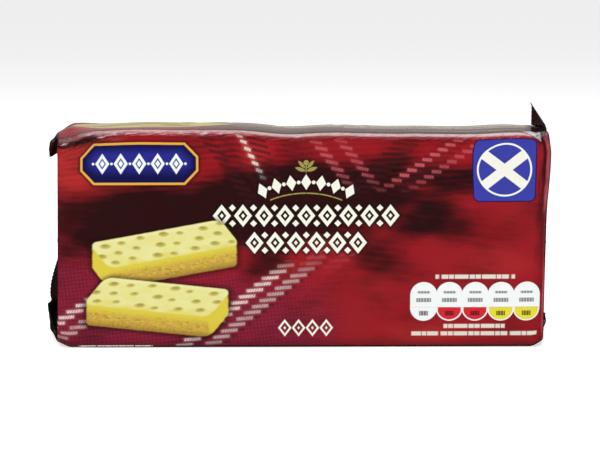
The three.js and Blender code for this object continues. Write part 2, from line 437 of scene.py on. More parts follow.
class Field:
    """A number that varies over a surface, held as an output socket of a shader tree."""

    def __init__(self, sheet: "Sheet", socket: bpy.types.NodeSocket) -> None:
        """Keep the sheet that the field is drawn on and its socket."""
        self.sheet = sheet
        self.socket = socket

    def __add__(self, other: "Field | float") -> "Field":
        """Return the sum."""
        return self.sheet.math("ADD", self, other)

    def __sub__(self, other: "Field | float") -> "Field":
        """Return the difference."""
        return self.sheet.math("SUBTRACT", self, other)

    def __mul__(self, other: "Field | float") -> "Field":
        """Return the product."""
        return self.sheet.math("MULTIPLY", self, other)

    def __truediv__(self, other: "Field | float") -> "Field":
        """Return the quotient."""
        if isinstance(other, Field):
            return self.sheet.math("DIVIDE", self, other)
        return self.sheet.math("MULTIPLY", self, 1 / other)

    def size(self) -> "Field":
        """Return the field without its sign."""
        return self.sheet.math("ABSOLUTE", self)

    def floor(self) -> "Field":
        """Return the whole number below the field."""
        return self.sheet.math("FLOOR", self)

    def fraction(self) -> "Field":
        """Return what is left over the whole number below the field."""
        return self.sheet.math("FRACT", self)

    def least(self, other: "Field | float") -> "Field":
        """Return the smaller of two values."""
        return self.sheet.math("MINIMUM", self, other)

    def most(self, other: "Field | float") -> "Field":
        """Return the larger of two values."""
        return self.sheet.math("MAXIMUM", self, other)

    def held(self) -> "Field":
        """Return the field kept between 0 and 1."""
        return self.least(1.0).most(0.0)

    def from_middle(self) -> "Field":
        """Return how far the field is from the middle between two whole numbers, up to 0.5."""
        return (self.fraction() - 0.5).size()

    def rest(self) -> "Field":
        """Return what the field lacks to 1."""
        return self * -1.0 + 1.0

    def rise(self, low: float, high: float) -> "Field":
        """Return a smooth step from 0 to 1 as the field goes from low to high, which may be the lower one."""
        node = self.sheet.node("ShaderNodeMapRange", interpolation_type="SMOOTHSTEP")
        falls = low > high
        self.sheet.feed(node.inputs["Value"], self)
        node.inputs["From Min"].default_value = min(low, high)
        node.inputs["From Max"].default_value = max(low, high)
        node.inputs["To Min"].default_value = float(falls)
        node.inputs["To Max"].default_value = float(not falls)
        return Field(self.sheet, node.outputs["Result"])

    def near(self, middle: float, outer: float, inner: float) -> "Field":
        """Return 1 where the field is within inner of a middle, and 0 where it is farther off than outer."""
        return (self - middle).size().rise(outer, inner)

    def cover(self, softness: "Field | float" = 0.16) -> "Field":
        """Return 1 where this signed distance is inside a shape and 0 outside, over a soft edge."""
        return self.sheet.math("SUBTRACT", 0.5, self / softness, clamp=True)


class Sheet:
    """A shader tree, drawn on with fields and inks. The numbers are the colour sockets of a mix node."""

    mix_under = 6
    mix_over = 7
    mix_result = 2

    def __init__(self, tree: bpy.types.NodeTree) -> None:
        """Keep the tree that the nodes are made in."""
        self.tree = tree

    def node(self, kind: str, **settings: object) -> bpy.types.Node:
        """Return a new node of a kind, with these settings."""
        made = self.tree.nodes.new(kind)
        for name, value in settings.items():
            setattr(made, name, value)
        return made

    def feed(self, socket: bpy.types.NodeSocket, value: "Field | Ink | bpy.types.NodeSocket | float") -> None:
        """Link a field or a socket into a socket, or set its value to an ink or a number."""
        if isinstance(value, Field):
            self.tree.links.new(value.socket, socket)
        elif isinstance(value, bpy.types.NodeSocket):
            self.tree.links.new(value, socket)
        elif isinstance(value, Ink):
            socket.default_value = value.value
        else:
            socket.default_value = value

    def math(self, operation: str, *values: "Field | float", clamp: bool = False) -> Field:
        """Return the result of a math node on fields and numbers."""
        made = self.node("ShaderNodeMath", operation=operation, use_clamp=clamp)
        for socket, value in zip(made.inputs, values):
            self.feed(socket, value)
        return Field(self, made.outputs[0])

    def ink(self, under: "Colour | Ink", over: "Colour | Ink", mask: Field) -> "Colour":
        """Return the colour under where the mask is 0 and the colour over it where the mask is 1."""
        made = self.node("ShaderNodeMix", data_type="RGBA")
        self.feed(made.inputs["Factor"], mask)
        self.feed(made.inputs[self.mix_under], under)
        self.feed(made.inputs[self.mix_over], over)
        return made.outputs[self.mix_result]

    def parts(self, vector: bpy.types.NodeSocket) -> list[Field]:
        """Return the three parts of a vector."""
        split = self.node("ShaderNodeSeparateXYZ")
        self.feed(split.inputs[0], vector)
        return [Field(self, part) for part in split.outputs]

    def grain(self, vector: bpy.types.NodeSocket, **sizes: float) -> Field:
        """Return noise of 0 to 1 at a vector, with these values in its inputs."""
        made = self.node("ShaderNodeTexNoise")
        for name, value in sizes.items():
            made.inputs[name].default_value = value
        self.feed(made.inputs["Vector"], vector)
        return Field(self, made.outputs["Fac"])

    def noise(self, place: "Place", size_x: float, size_z: float, detail: float, seed: float) -> Field:
        """Return noise of 0 to 1 whose grains have these sizes along the film and across it."""
        at = self.node("ShaderNodeCombineXYZ")
        for socket, value in zip(at.inputs, (place.x / size_x, place.z / size_z, seed)):
            self.feed(socket, value)
        return self.grain(at.outputs[0], Scale=1.0, Detail=detail)


@dataclass(frozen=True)
class Place:
    """A place on the flat film, as two fields in millimetres."""

    x: Field
    z: Field

    def about(self, x: "Field | float", z: "Field | float") -> "Place":
        """Return the place measured from another origin."""
        return Place(self.x - x, self.z - z)

    def turned(self, degrees: float) -> "Place":
        """Return the place on axes that are turned by this angle."""
        c, s = math.cos(math.radians(degrees)), math.sin(math.radians(degrees))
        return Place(self.x * c + self.z * s, self.z * c - self.x * s)

    def aside(self, start: tuple[float, float], end: tuple[float, float]) -> Field:
        """Return the signed distance from a line, above 0 on the right of the way to its end."""
        (x0, z0), (x1, z1) = start, end
        length = math.hypot(x1 - x0, z1 - z0)
        return (self.x - x0) * ((z1 - z0) / length) - (self.z - z0) * ((x1 - x0) / length)

    def mirrored(self) -> "Place":
        """Return the place with its left half laid on its right half."""
        return Place(self.x.size(), self.z)

    def in_row(self, pitch: float, count: int) -> "Place":
        """Return the place from the middle of the nearest of count cells, in a row about the origin."""
        shift = 0.0 if count % 2 else 0.5
        most = (count - 1) / 2
        cell = ((self.x / pitch + (0.5 - shift)).floor() + shift).least(most).most(-most)
        return Place(self.x - cell * pitch, self.z)

    def box(self, half_x: float, half_z: float, radius: float = 0.0) -> Field:
        """Return the signed distance from a box with rounded corners."""
        if not radius:
            return (self.x.size() - half_x).most(self.z.size() - half_z)
        past_x = (self.x.size() - (half_x - radius)).most(0.0)
        past_z = (self.z.size() - (half_z - radius)).most(0.0)
        return Place(past_x, past_z).disc(radius)

    def plaque(self, half_x: float, half_z: float, chamfer: float) -> Field:
        """Return the signed distance from a box with cut corners."""
        corner = (self.x.size() + self.z.size() - (half_x + half_z - chamfer)) * math.sqrt(0.5)
        return self.box(half_x, half_z).most(corner)

    def lozenge(self, half_x: float, half_z: float) -> Field:
        """Return the signed distance from a lozenge."""
        slope = half_x * half_z / math.hypot(half_x, half_z)
        return (self.x.size() / half_x + self.z.size() / half_z - 1.0) * slope

    def far(self) -> Field:
        """Return the distance from the origin."""
        return self.x.sheet.math("SQRT", self.x * self.x + self.z * self.z)

    def disc(self, radius: float) -> Field:
        """Return the signed distance from a disc."""
        return self.far() - radius

    def leaf(self, half_x: float, half_z: float) -> Field:
        """Return the signed distance from a leaf that is pointed at both ends of its x axis."""
        bow = (half_x * half_x - half_z * half_z) / (2 * half_z)
        lowered = Place(self.x, self.z.size() + bow)
        return lowered.disc(half_z + bow)


# The meshes of the wrapper


@dataclass(frozen=True)
class Crease:
    """A shallow groove in the film, from one place of the flat film to another, deepest at its start."""

    start: tuple[float, float]
    end: tuple[float, float]
    width: float
    depth: float
    ridge: float = 0.45
    ridge_spread: float = 2.1
    fade_power: float = 0.7

    def press(self, film_x: Array, film_z: Array) -> Array:
        """Return how far the film is pressed in at each place: a groove with a low ridge along each side."""
        (x0, z0), (x1, z1) = self.start, self.end
        length = math.hypot(x1 - x0, z1 - z0)
        along = ((film_x - x0) * (x1 - x0) + (film_z - z0) * (z1 - z0)) / length**2
        aside = ((film_x - x0) * (z1 - z0) - (film_z - z0) * (x1 - x0)) / length
        past = np.maximum(np.maximum(-along, along - 1), 0) * length
        across = np.hypot(aside, past) / self.width
        groove = np.exp(-(across**2)) - self.ridge * np.exp(-((across / self.ridge_spread) ** 2))
        return self.depth * groove * (1 - ease(along)) ** self.fade_power


Span = tuple[float, float]
Folds = tuple[tuple[float, ...], ...]


class Dice:
    """Random sizes, drawn in millimetres and given in metres."""

    def __init__(self, seed: int) -> None:
        """Start the draws from a seed."""
        self.draw = np.random.default_rng(seed)

    def size(self, span: Span) -> float:
        """Return a size from a span."""
        return self.draw.uniform(*span) * MM

    def stray(self, spread: float) -> float:
        """Return a size near 0, spread as a normal curve is."""
        return self.draw.normal(0, spread * MM)


@dataclass(frozen=True)
class Creases:
    """The folds, puckers and dents that the wrapping machine and handling leave in the film.

    Each span holds the least and the most of what is drawn at random: a size in millimetres, the turn in
    degrees, or a share for the fan and the crumples. Each row of the folds at a corner has a fold's start,
    its end, its width and its depth, in millimetres from that corner of the front. Each row of the crumples
    has their count, where they start, how far they reach and how deep they are.
    """

    wrap: Wrap
    seed: int = 7
    from_each_end: int = 46
    end_scatter: float = 9
    end_crowd: float = 8 * MM
    end_length: Span = (5, 13)
    end_least_length: float = 0.6
    end_fan: Span = (0.1, 0.9)
    end_stray: float = 1.2
    end_inset: Span = (0, 1.5)
    end_width: Span = (0.7, 1.6)
    end_depth: Span = (0.05, 0.2)
    end_least_depth: float = 0.5
    on_top_edges: int = 22
    dent_place: Span = (-76, 76)
    dent_shift: Span = (-2, 2)
    dent_lean: Span = (-5, 5)
    dent_reach: Span = (2, 7)
    dent_width: Span = (1, 2.4)
    dent_depth: Span = (0.08, 0.3)
    on_panels: int = 16
    long_place: Span = (-65, 65)
    long_reach: Span = (-26, 26)
    long_rise: Span = (-7, 7)
    long_width: Span = (1.2, 2.6)
    long_depth: Span = (0.03, 0.07)
    crumples: Folds = ((34, 1, 21, 0.34), (30, 18, 60, 0.16))
    crumple_rise: Span = (-3.4, 2.2)
    crumple_length: Span = (1.5, 5)
    crumple_turn: Span = (-60, 60)
    crumple_width: Span = (0.5, 1.0)
    crumple_share: Span = (0.4, 1)
    upper_left: Folds = (
        (3.5, 0.5, 15, 0.2, 1.9, 0.85),
        (9, 2, 19.5, 2.6, 0.8, 0.4),
        (11, -0.6, 29, -0.8, 0.9, 0.35),
        (4, -1, 2, -12, 1, 0.2),
    )
    upper_right: Folds = (
        (-1.5, -0.5, -10, 4, 1.6, 0.8),
        (-2, 7, -9, 1, 1.2, 0.5),
        (-1, -3, -5, -22, 0.9, 0.3),
    )
    lower_right: Folds = (
        (-1, 29, -7, 26.5, 0.8, 0.3),
        (-1, 5, -8, 2.5, 0.8, 0.3),
        (-3, 3.4, -6, 7, 0.7, 0.2),
    )

    def all(self) -> list[Crease]:
        """Return every crease of the body's film."""
        dice, top, right = Dice(self.seed), self.wrap.height, self.wrap.half_length
        return [
            *self._end_creases(dice),
            *self._edge_dents(dice),
            *self._panel_creases(dice),
            *self._folds(-right, top, self.upper_left),
            *self._crumples(Dice(self.seed + 1)),
            *self._folds(right, top, self.upper_right),
            *self._folds(right, 0, self.lower_right),
        ]

    @staticmethod
    def _folds(x: float, z: float, rows: Folds) -> list[Crease]:
        """Return the folds at a corner of the front from their rows."""
        return [
            Crease((x + x0 * MM, z + z0 * MM), (x + x1 * MM, z + z1 * MM), width * MM, depth * MM)
            for x0, z0, x1, z1, width, depth in rows
        ]

    def _end_creases(self, dice: Dice) -> list[Crease]:
        """Return creases that run in from both ends, more and deeper ones beside the long edges."""
        height, depth = self.wrap.height, self.wrap.depth
        edges = (0.0, height, height + depth, -depth)
        made = []
        for side in (-1, 1):
            for _ in range(self.from_each_end):
                edge = edges[dice.draw.integers(len(edges))]
                z = edge + dice.stray(self.end_scatter)
                near = math.exp(-abs(z - edge) / self.end_crowd)
                length = dice.size(self.end_length) * (self.end_least_length + near)
                fan = (z - edge) * dice.draw.uniform(*self.end_fan) + dice.stray(self.end_stray)
                start = (side * (self.wrap.half_length - dice.size(self.end_inset)), z)
                width = dice.size(self.end_width)
                pressed = dice.size(self.end_depth) * (self.end_least_depth + near)
                made.append(Crease(start, (start[0] - side * length, z + fan), width, pressed))
        return made

    def _edge_dents(self, dice: Dice) -> list[Crease]:
        """Return dents across the upper long edges."""
        made = []
        for edge in (self.wrap.height, self.wrap.height + self.wrap.depth):
            for _ in range(self.on_top_edges):
                x, z = dice.size(self.dent_place), edge + dice.size(self.dent_shift)
                lean = dice.size(self.dent_lean)
                reach = dice.size(self.dent_reach) * dice.draw.choice([-1, 1])
                width, depth = dice.size(self.dent_width), dice.size(self.dent_depth)
                made.append(Crease((x, z), (x + lean, z + reach), width, depth))
        return made

    def _panel_creases(self, dice: Dice) -> list[Crease]:
        """Return long faint creases over the front, the top and the back."""
        made = []
        low, high = -self.wrap.depth - self.wrap.height / 2, self.wrap.height * 1.5 + self.wrap.depth
        for _ in range(self.on_panels):
            x, z = dice.size(self.long_place), dice.draw.uniform(low, high)
            end = (x + dice.size(self.long_reach), z + dice.size(self.long_rise))
            made.append(Crease((x, z), end, dice.size(self.long_width), dice.size(self.long_depth)))
        return made

    def _crumples(self, dice: Dice) -> list[Crease]:
        """Return short folds that crumple the upper left corner and, more lightly, the edge beside it."""
        top, left = self.wrap.height, -self.wrap.half_length
        made = []
        for count, start, reach, depth in self.crumples:
            for _ in range(count):
                x = left + (start + dice.draw.uniform(0, reach)) * MM
                z = top + dice.size(self.crumple_rise)
                length = dice.size(self.crumple_length)
                turn = math.radians(dice.draw.uniform(*self.crumple_turn))
                end = (x + length * math.cos(turn), z + length * math.sin(turn))
                width = dice.size(self.crumple_width)
                pressed = dice.draw.uniform(*self.crumple_share) * depth * MM
                made.append(Crease((x, z), end, width, pressed))
        return made


def mesh_piece(name: str, places: Array, faces: list[tuple[int, ...]]) -> bpy.types.Object:
    """Make a smooth mesh piece and link it into the scene.

    Args:
        name: The piece's name.
        places: One row of coordinates for each vertex.
        faces: The vertices of each face, in order.

    Returns:
        The piece, at the origin.
    """
    mesh = bpy.data.meshes.new(name)
    mesh.from_pydata(places.tolist(), [], faces)
    mesh.update()
    mesh.shade_smooth()
    piece = bpy.data.objects.new(name, mesh)
    bpy.context.scene.collection.objects.link(piece)
    return piece


def loop_tube(loops: int, points: int) -> list[tuple[int, ...]]:
    """Return the faces of a tube of closed loops, and of the strips that close its first and last loop."""
    faces = []
    for k in range(loops - 1):
        for i in range(points):
            a, b = k * points + i, k * points + (i + 1) % points
            faces.append((a, b, b + points, a + points))
    last = (loops - 1) * points
    for i in range(points // 2):
        strip = tuple(dict.fromkeys((i, (points - i) % points, (points - i - 1) % points, i + 1)))
        if len(strip) > 2:
            faces.append(strip)
            faces.append(tuple(last + corner for corner in reversed(strip)))
    return faces


@dataclass
class FilmWrap:
    """The printed film round the stack, from the root of one fin to the root of the other."""

    wrap: Wrap
    body_steps: int = 222
    edge_steps: int = 8
    closing_steps: int = 24
    corner_steps: int = 6
    panel_steps: int = 20
    ear_steps: int = 16
    side_steps: int = 76
    edge_zone: float = 1.2 * MM
    pleat_depth: float = 0.05 * MM
    pleat_power: float = 0.8
    pleat_turn: float = 0.8
    pleats: tuple[tuple[float, float], ...] = ((13.7, 0.4), (8.3, 2.1), (5.1, 4.4), (3.4, 1.3))
    name: str = "film_wrap"
    map_name: str = "flat_film"

    def _side_heights(self, top: float, bottom: float) -> Array:
        """Return the heights of a ring's side from the top down."""
        zone = self.wrap.top_edge_radius + self.edge_zone
        high = self.wrap.height - zone
        spans = ((top, high, self.ear_steps), (high, zone, self.side_steps), (zone, bottom, self.ear_steps))
        return np.concatenate([steps(*span) for span in spans])

    def half_ring(self, ring: Ring) -> tuple[Array, Array]:
        """Return the distances and heights of half a ring, from its top's middle to its bottom's."""
        high, low = ring.top - ring.top_radius, ring.bottom + ring.bottom_radius
        upper = steps(0, math.pi / 2, self.corner_steps)
        lower = steps(math.pi / 2, math.pi, self.corner_steps)
        heights = self._side_heights(high, low)
        wide = ring.half_depth
        distance = [
            [0.0],
            steps(0, wide - ring.top_radius, self.panel_steps),
            wide + ring.top_radius * (np.sin(upper) - 1),
            np.full(len(heights), wide),
            wide + ring.bottom_radius * (np.sin(lower) - 1),
            steps(wide - ring.bottom_radius, 0, self.panel_steps),
        ]
        height = [
            [ring.top],
            np.full(self.panel_steps, ring.top),
            high + ring.top_radius * np.cos(upper),
            heights,
            low + ring.bottom_radius * np.cos(lower),
            np.full(self.panel_steps, ring.bottom),
        ]
        return np.concatenate(distance), np.concatenate(height)

    def _film_heights(self) -> Array:
        """Return each column's place across the flat film, on its first and on its last side, in two rows.

        The places run from the top's middle down the front, under the base and up the back. They jump by the
        film's width at the back seal, where the film's two edges meet.
        """
        wrap = self.wrap
        distance, height = self.half_ring(wrap.stack_ring(0.0))
        over = np.where(height > wrap.height / 2, 1, -1)
        front = height + over * (wrap.half_depth - distance)
        width = 2 * (wrap.height + wrap.depth)
        back = 2 * wrap.height + wrap.depth - front[1:-1][::-1] - width
        places = np.concatenate([front, back, [wrap.height + wrap.half_depth - width]])
        sides = np.stack([places[:-1], places[1:]])
        beyond = sides.mean(axis=0) < -wrap.depth - BackSeal.middle
        return sides + width * beyond

    def _pleats(self, ring: Ring, height: Array) -> Array:
        """Return how far the film of an end's face is pressed in, by pleats that run towards the fin.

        Each pleat is a wave with a length in millimetres and a shift, and is deeper the longer it is.
        """
        if not ring.closed:
            return 0.0 * height
        share = math.sin(math.pi * ring.closed) ** self.pleat_power
        turn, own = height / MM * 2 * math.pi, self.pleat_turn * ring.end.side
        waves = [math.sqrt(w) * np.sin(turn / w + shift + own) for w, shift in self.pleats]
        return self.pleat_depth * share * sum(waves)

    def build(self) -> bpy.types.Object:
        """Build the wrap with its creases and the map of the flat film.

        Returns:
            The wrap, a closed mesh.
        """
        rings = self.wrap.rings(self.body_steps, self.edge_steps, self.closing_steps)
        film_x = np.array([ring.film_x for ring in rings])
        sides = self._film_heights()
        across, along = np.meshgrid(sides[0], film_x)
        creased = sum(crease.press(along, across) for crease in Creases(self.wrap).all())
        places, pressed = [], []
        for ring, press in zip(rings, creased):
            distance, height = self.half_ring(ring)
            y = np.concatenate([-distance, distance[1:-1][::-1]])
            heights = np.concatenate([height, height[1:-1][::-1]])
            places.append(self.wrap.place(ring, y, heights))
            pressed.append(press * (1 - ease(2 * ring.closed)) + self._pleats(ring, heights))
        places = np.array(places)
        places -= self._normals(places) * np.array(pressed)[..., None]
        places[..., 2] = np.maximum(places[..., 2], 0)
        piece = mesh_piece(self.name, places.reshape(-1, 3), loop_tube(*places.shape[:2]))
        self._lay_map(piece, film_x, sides)
        return piece

    @staticmethod
    def _normals(places: Array) -> Array:
        """Return the outward normal at each point of a grid of places."""
        round_ring = np.roll(places, -1, axis=1) - np.roll(places, 1, axis=1)
        along_tube = np.gradient(places, axis=0)
        return unit(np.cross(round_ring, along_tube))

    def _lay_map(self, piece: bpy.types.Object, film_x: Array, sides: Array) -> None:
        """Give the piece a map that holds the place of each corner on the flat film, in metres."""
        mesh = piece.data
        points = sides.shape[1]
        layer = mesh.uv_layers.new(name=self.map_name)
        vertex = np.empty(len(mesh.loops), dtype=np.int64)
        mesh.loops.foreach_get("vertex_index", vertex)
        face_of = np.repeat(np.arange(len(mesh.polygons)), [len(p.vertices) for p in mesh.polygons])
        column = np.minimum(face_of % points, points - 1)
        ring, at = vertex // points, vertex % points
        is_tube = face_of < points * (len(film_x) - 1)
        later = at != column
        z = np.where(is_tube & later, sides[1][column], sides[0][at])
        layer.data.foreach_set("uv", np.stack([film_x[ring], z], axis=1).astype(np.float32).ravel())


class CrimpTree:
    """Geometry Nodes that press ridges into a sealed strip of film and cut its edge to teeth."""

    sizes = ("Ridge Pitch", "Ridge Depth", "Tooth Pitch", "Tooth Depth")

    def __init__(self) -> None:
        """Build the tree once, for every seal."""
        self.tree = bpy.data.node_groups.new("crimp_seal", "GeometryNodeTree")
        face = self.tree.interface
        face.new_socket("Geometry", in_out="INPUT", socket_type="NodeSocketGeometry")
        for name in self.sizes:
            face.new_socket(name, in_out="INPUT", socket_type="NodeSocketFloat")
        face.new_socket("Film", in_out="INPUT", socket_type="NodeSocketMaterial")
        face.new_socket("Geometry", in_out="OUTPUT", socket_type="NodeSocketGeometry")
        self._draw()

    def _node(self, kind: str, *inputs: object, **settings: object) -> bpy.types.Node:
        """Return a new node, with its inputs linked or set in order; None leaves one as it is."""
        made = self.tree.nodes.new(kind)
        for name, value in settings.items():
            setattr(made, name, value)
        for socket, value in zip(made.inputs, inputs):
            if isinstance(value, bpy.types.NodeSocket):
                self.tree.links.new(value, socket)
            elif value is not None:
                socket.default_value = value
        return made

    def _math(self, operation: str, *values: object) -> bpy.types.NodeSocket:
        """Return the result of a math node."""
        return self._node("ShaderNodeMath", *values, operation=operation).outputs[0]

    def _kept(self, name: str, data_type: str = "FLOAT") -> bpy.types.NodeSocket:
        """Return a value that the film's points carry."""
        return self._node("GeometryNodeInputNamedAttribute", name, data_type=data_type).outputs[0]

    def _move(self, way: str, distance: bpy.types.NodeSocket) -> bpy.types.NodeSocket:
        """Return a shift by a distance, along a direction that the points carry."""
        made = self._node("ShaderNodeVectorMath", self._kept(way, "FLOAT_VECTOR"), operation="SCALE")
        self.tree.links.new(distance, made.inputs["Scale"])
        return made.outputs[0]

    def _draw(self) -> None:
        """Link the tree: the ridges and the teeth are shifts of the points, added up."""
        given = self._node("NodeGroupInput").outputs
        at = self._kept("seal_at")
        turn = self._math("MULTIPLY", self._math("DIVIDE", at, given["Ridge Pitch"]), 2 * math.pi)
        wave = self._math("MULTIPLY", self._math("SINE", turn), given["Ridge Depth"])
        ridge = self._move("seal_out", self._math("MULTIPLY", wave, self._kept("ridge_share")))
        half = self._math("MULTIPLY", given["Tooth Pitch"], 0.5)
        tooth = self._math("DIVIDE", self._math("PINGPONG", at, half), half)
        depth = self._math("MULTIPLY", tooth, given["Tooth Depth"])
        cut = self._math("MULTIPLY", depth, self._kept("edge_share"))
        teeth = self._move("seal_in", cut)
        shift = self._node("ShaderNodeVectorMath", ridge, teeth, operation="ADD").outputs[0]
        moved = self._node("GeometryNodeSetPosition", given["Geometry"], None, None, shift).outputs[0]
        whole = self._node("GeometryNodeRealizeInstances", moved).outputs[0]
        dressed = self._node("GeometryNodeSetMaterial", whole, None, given["Film"]).outputs[0]
        self._node("NodeGroupOutput", dressed)

    def press(self, piece: bpy.types.Object, sizes: tuple[float, ...], film: bpy.types.Material) -> None:
        """Press a strip and keep the result as its mesh.

        Args:
            piece: The strip, whose points carry where they are along the seal and which ways they may move.
            sizes: The pitch and depth of the ridges, and the pitch and depth of the teeth.
            film: The material of the strip.
        """
        modifier = piece.modifiers.new("crimp", "NODES")
        modifier.node_group = self.tree
        given = {**dict(zip(self.sizes, sizes)), "Film": film}
        for socket in self.tree.interface.items_tree:
            if socket.in_out == "INPUT" and socket.name in given:
                modifier[socket.identifier] = given[socket.name]
        drawn = piece.evaluated_get(bpy.context.evaluated_depsgraph_get())
        plain = bpy.data.meshes.new_from_object(drawn)
        plain.name = piece.name
        piece.modifiers.clear()
        piece.data = plain


def seal_strip(name: str, outer: Array, inner: Array, carried: dict[str, Array]) -> bpy.types.Object:
    """Make a closed strip of sealed film, whose points carry what the crimping nodes read.

    Args:
        name: The strip's name.
        outer: The places of its outer face, in rows along the seal.
        inner: The places of its inner face.
        carried: The numbers and directions that the points of both faces carry.

    Returns:
        The strip, with its faces turned outwards.
    """
    loops = np.concatenate([outer, inner[:, ::-1]], axis=1)
    piece = mesh_piece(name, loops.reshape(-1, 3), loop_tube(*loops.shape[:2]))
    solid = bmesh.new()
    solid.from_mesh(piece.data)
    bmesh.ops.recalc_face_normals(solid, faces=solid.faces)
    solid.to_mesh(piece.data)
    solid.free()
    for title, values in carried.items():
        is_vector = values.ndim == 3
        values = np.concatenate([values, values[:, ::-1]], axis=1).astype(np.float32)
        kept = piece.data.attributes.new(title, "FLOAT_VECTOR" if is_vector else "FLOAT", "POINT")
        kept.data.foreach_set("vector" if is_vector else "value", values.ravel())
    return piece


@dataclass
class EndFin:
    """The crimped fin in which the film is sealed at one end: two films, folded over towards the back."""

    wrap: Wrap
    end: EndFold
    name: str
    point_pitch: float = 0.28 * MM
    width_steps: int = 12
    width_power: float = 0.8
    crimp: tuple[float, ...] = (1.35 * MM, 0.07 * MM, 1.5 * MM, 0.24 * MM)
    root_gap: float = 0.4 * MM
    flat_root: float = 1.6 * MM
    flat_ear: float = 4 * MM
    tooth_reach: float = 1.2 * MM

    def build(self, tree: CrimpTree, film: bpy.types.Material) -> bpy.types.Object:
        """Build the fin with its ridges and teeth.

        Args:
            tree: The nodes that press the ridges.
            film: The material of the fin.

        Returns:
            The fin, a closed mesh.
        """
        wrap, end = self.wrap, self.end
        low, high = -end.bottom_ear.length, wrap.height + end.top_ear.length
        share = np.linspace(0, 1, round((high - low) / self.point_pitch))
        widths = wrap.fin_width * np.linspace(0, 1, self.width_steps + 1) ** self.width_power
        front, back, heights = [], [], []
        for along in widths:
            ring = wrap.closing_ring(end, 1.0, along)
            height = blend(ring.bottom, ring.top, share)
            front.append(wrap.place(ring, np.full_like(height, -wrap.half_flap), height))
            back.append(wrap.place(ring, np.full_like(height, wrap.half_flap), height))
            heights.append(height)
        front, back, at = (np.swapaxes(np.array(rows), 0, 1) for rows in (front, back, heights))
        from_root = np.repeat(widths[None, :], len(share), axis=0)
        on_ear = np.maximum(at - wrap.height, -at)
        ridged = ease((from_root - self.root_gap) / self.flat_root) * ease(1 - on_ear / self.flat_ear)
        carried = {
            "seal_out": unit(front - back),
            "seal_in": unit(-np.gradient((front + back) / 2, axis=1)),
            "seal_at": at,
            "ridge_share": ridged,
            "edge_share": np.clip(1 - (wrap.fin_width - from_root) / self.tooth_reach, 0, 1),
        }
        piece = seal_strip(self.name, front, back, carried)
        tree.press(piece, self.crimp, film)
        return piece


@dataclass
class BackSeal:
    """The crimped seal that lies folded down along the back, where the two edges of the film meet."""

    wrap: Wrap
    name: str = "back_seal"
    middle: float = 35 * MM
    half_width: float = 5 * MM
    film: float = 0.18 * MM
    stand: float = 0.36 * MM
    curl: float = 0.1 * MM
    curl_length: float = 47 * MM
    point_pitch: float = 0.3 * MM
    side_steps: int = 12
    edge_steps: int = 8
    closing_steps: int = 30
    closing_share: float = 0.8
    stand_share: float = 0.12
    plain_share: float = 0.3
    crimp: tuple[float, ...] = (1.25 * MM, 0.07 * MM, 1.25 * MM, 0.0)

    def build(self, tree: CrimpTree, film: bpy.types.Material) -> bpy.types.Object:
        """Build the seal with its ridges.

        Args:
            tree: The nodes that press the ridges.
            film: The material of the seal.

        Returns:
            The seal, a closed mesh.
        """
        across = np.linspace(0, 1, self.side_steps + 1)
        height = self.middle + self.half_width * (1 - 2 * across)
        low, high = self.wrap.body_span
        body_steps = round((high - low) / self.point_pitch)
        rings = self.wrap.rings(body_steps, self.edge_steps, self.closing_steps, self.closing_share)
        outer, inner = [], []
        for ring in rings:
            lift = self.curl * (1 + math.sin(2 * math.pi * ring.film_x / self.curl_length)) * across**3
            over = self.stand * ease(across / self.stand_share) + lift
            outer.append(self.wrap.place(ring, ring.half_depth + over, height))
            inner.append(self.wrap.place(ring, ring.half_depth + over - self.film, height))
        outer, inner = np.array(outer), np.array(inner)
        outward = unit(outer - inner)
        at = np.repeat(np.array([ring.film_x for ring in rings])[:, None], len(across), axis=1)
        carried = {
            "seal_out": outward,
            "seal_in": 0 * outward,
            "seal_at": at,
            "ridge_share": np.repeat(ease(across / self.plain_share)[None, :], len(rings), axis=0),
            "edge_share": 0 * at,
        }
        piece = seal_strip(self.name, outer, inner, carried)
        tree.press(piece, self.crimp, film)
        return piece


# The print. Places and sizes are in millimetres of the flat film: X from the middle of the pack, and Z from
# the front's lower edge up over the front, the top and the back, and down under the base, below 0. A soft
# edge is written as the two values between which it rises or falls, and a mix as a share of 1.

TOP_FRONT = 73.0
TOP_BACK = 107.0

Numbers = dict[str, Field]


def lay(under: Colour | Ink, *coats: tuple[Ink | Colour, Field]) -> Colour:
    """Return a colour with inks laid over it in turn, each where its mask is 1."""
    for ink, mask in coats:
        under = mask.sheet.ink(under, ink, mask)
    return under


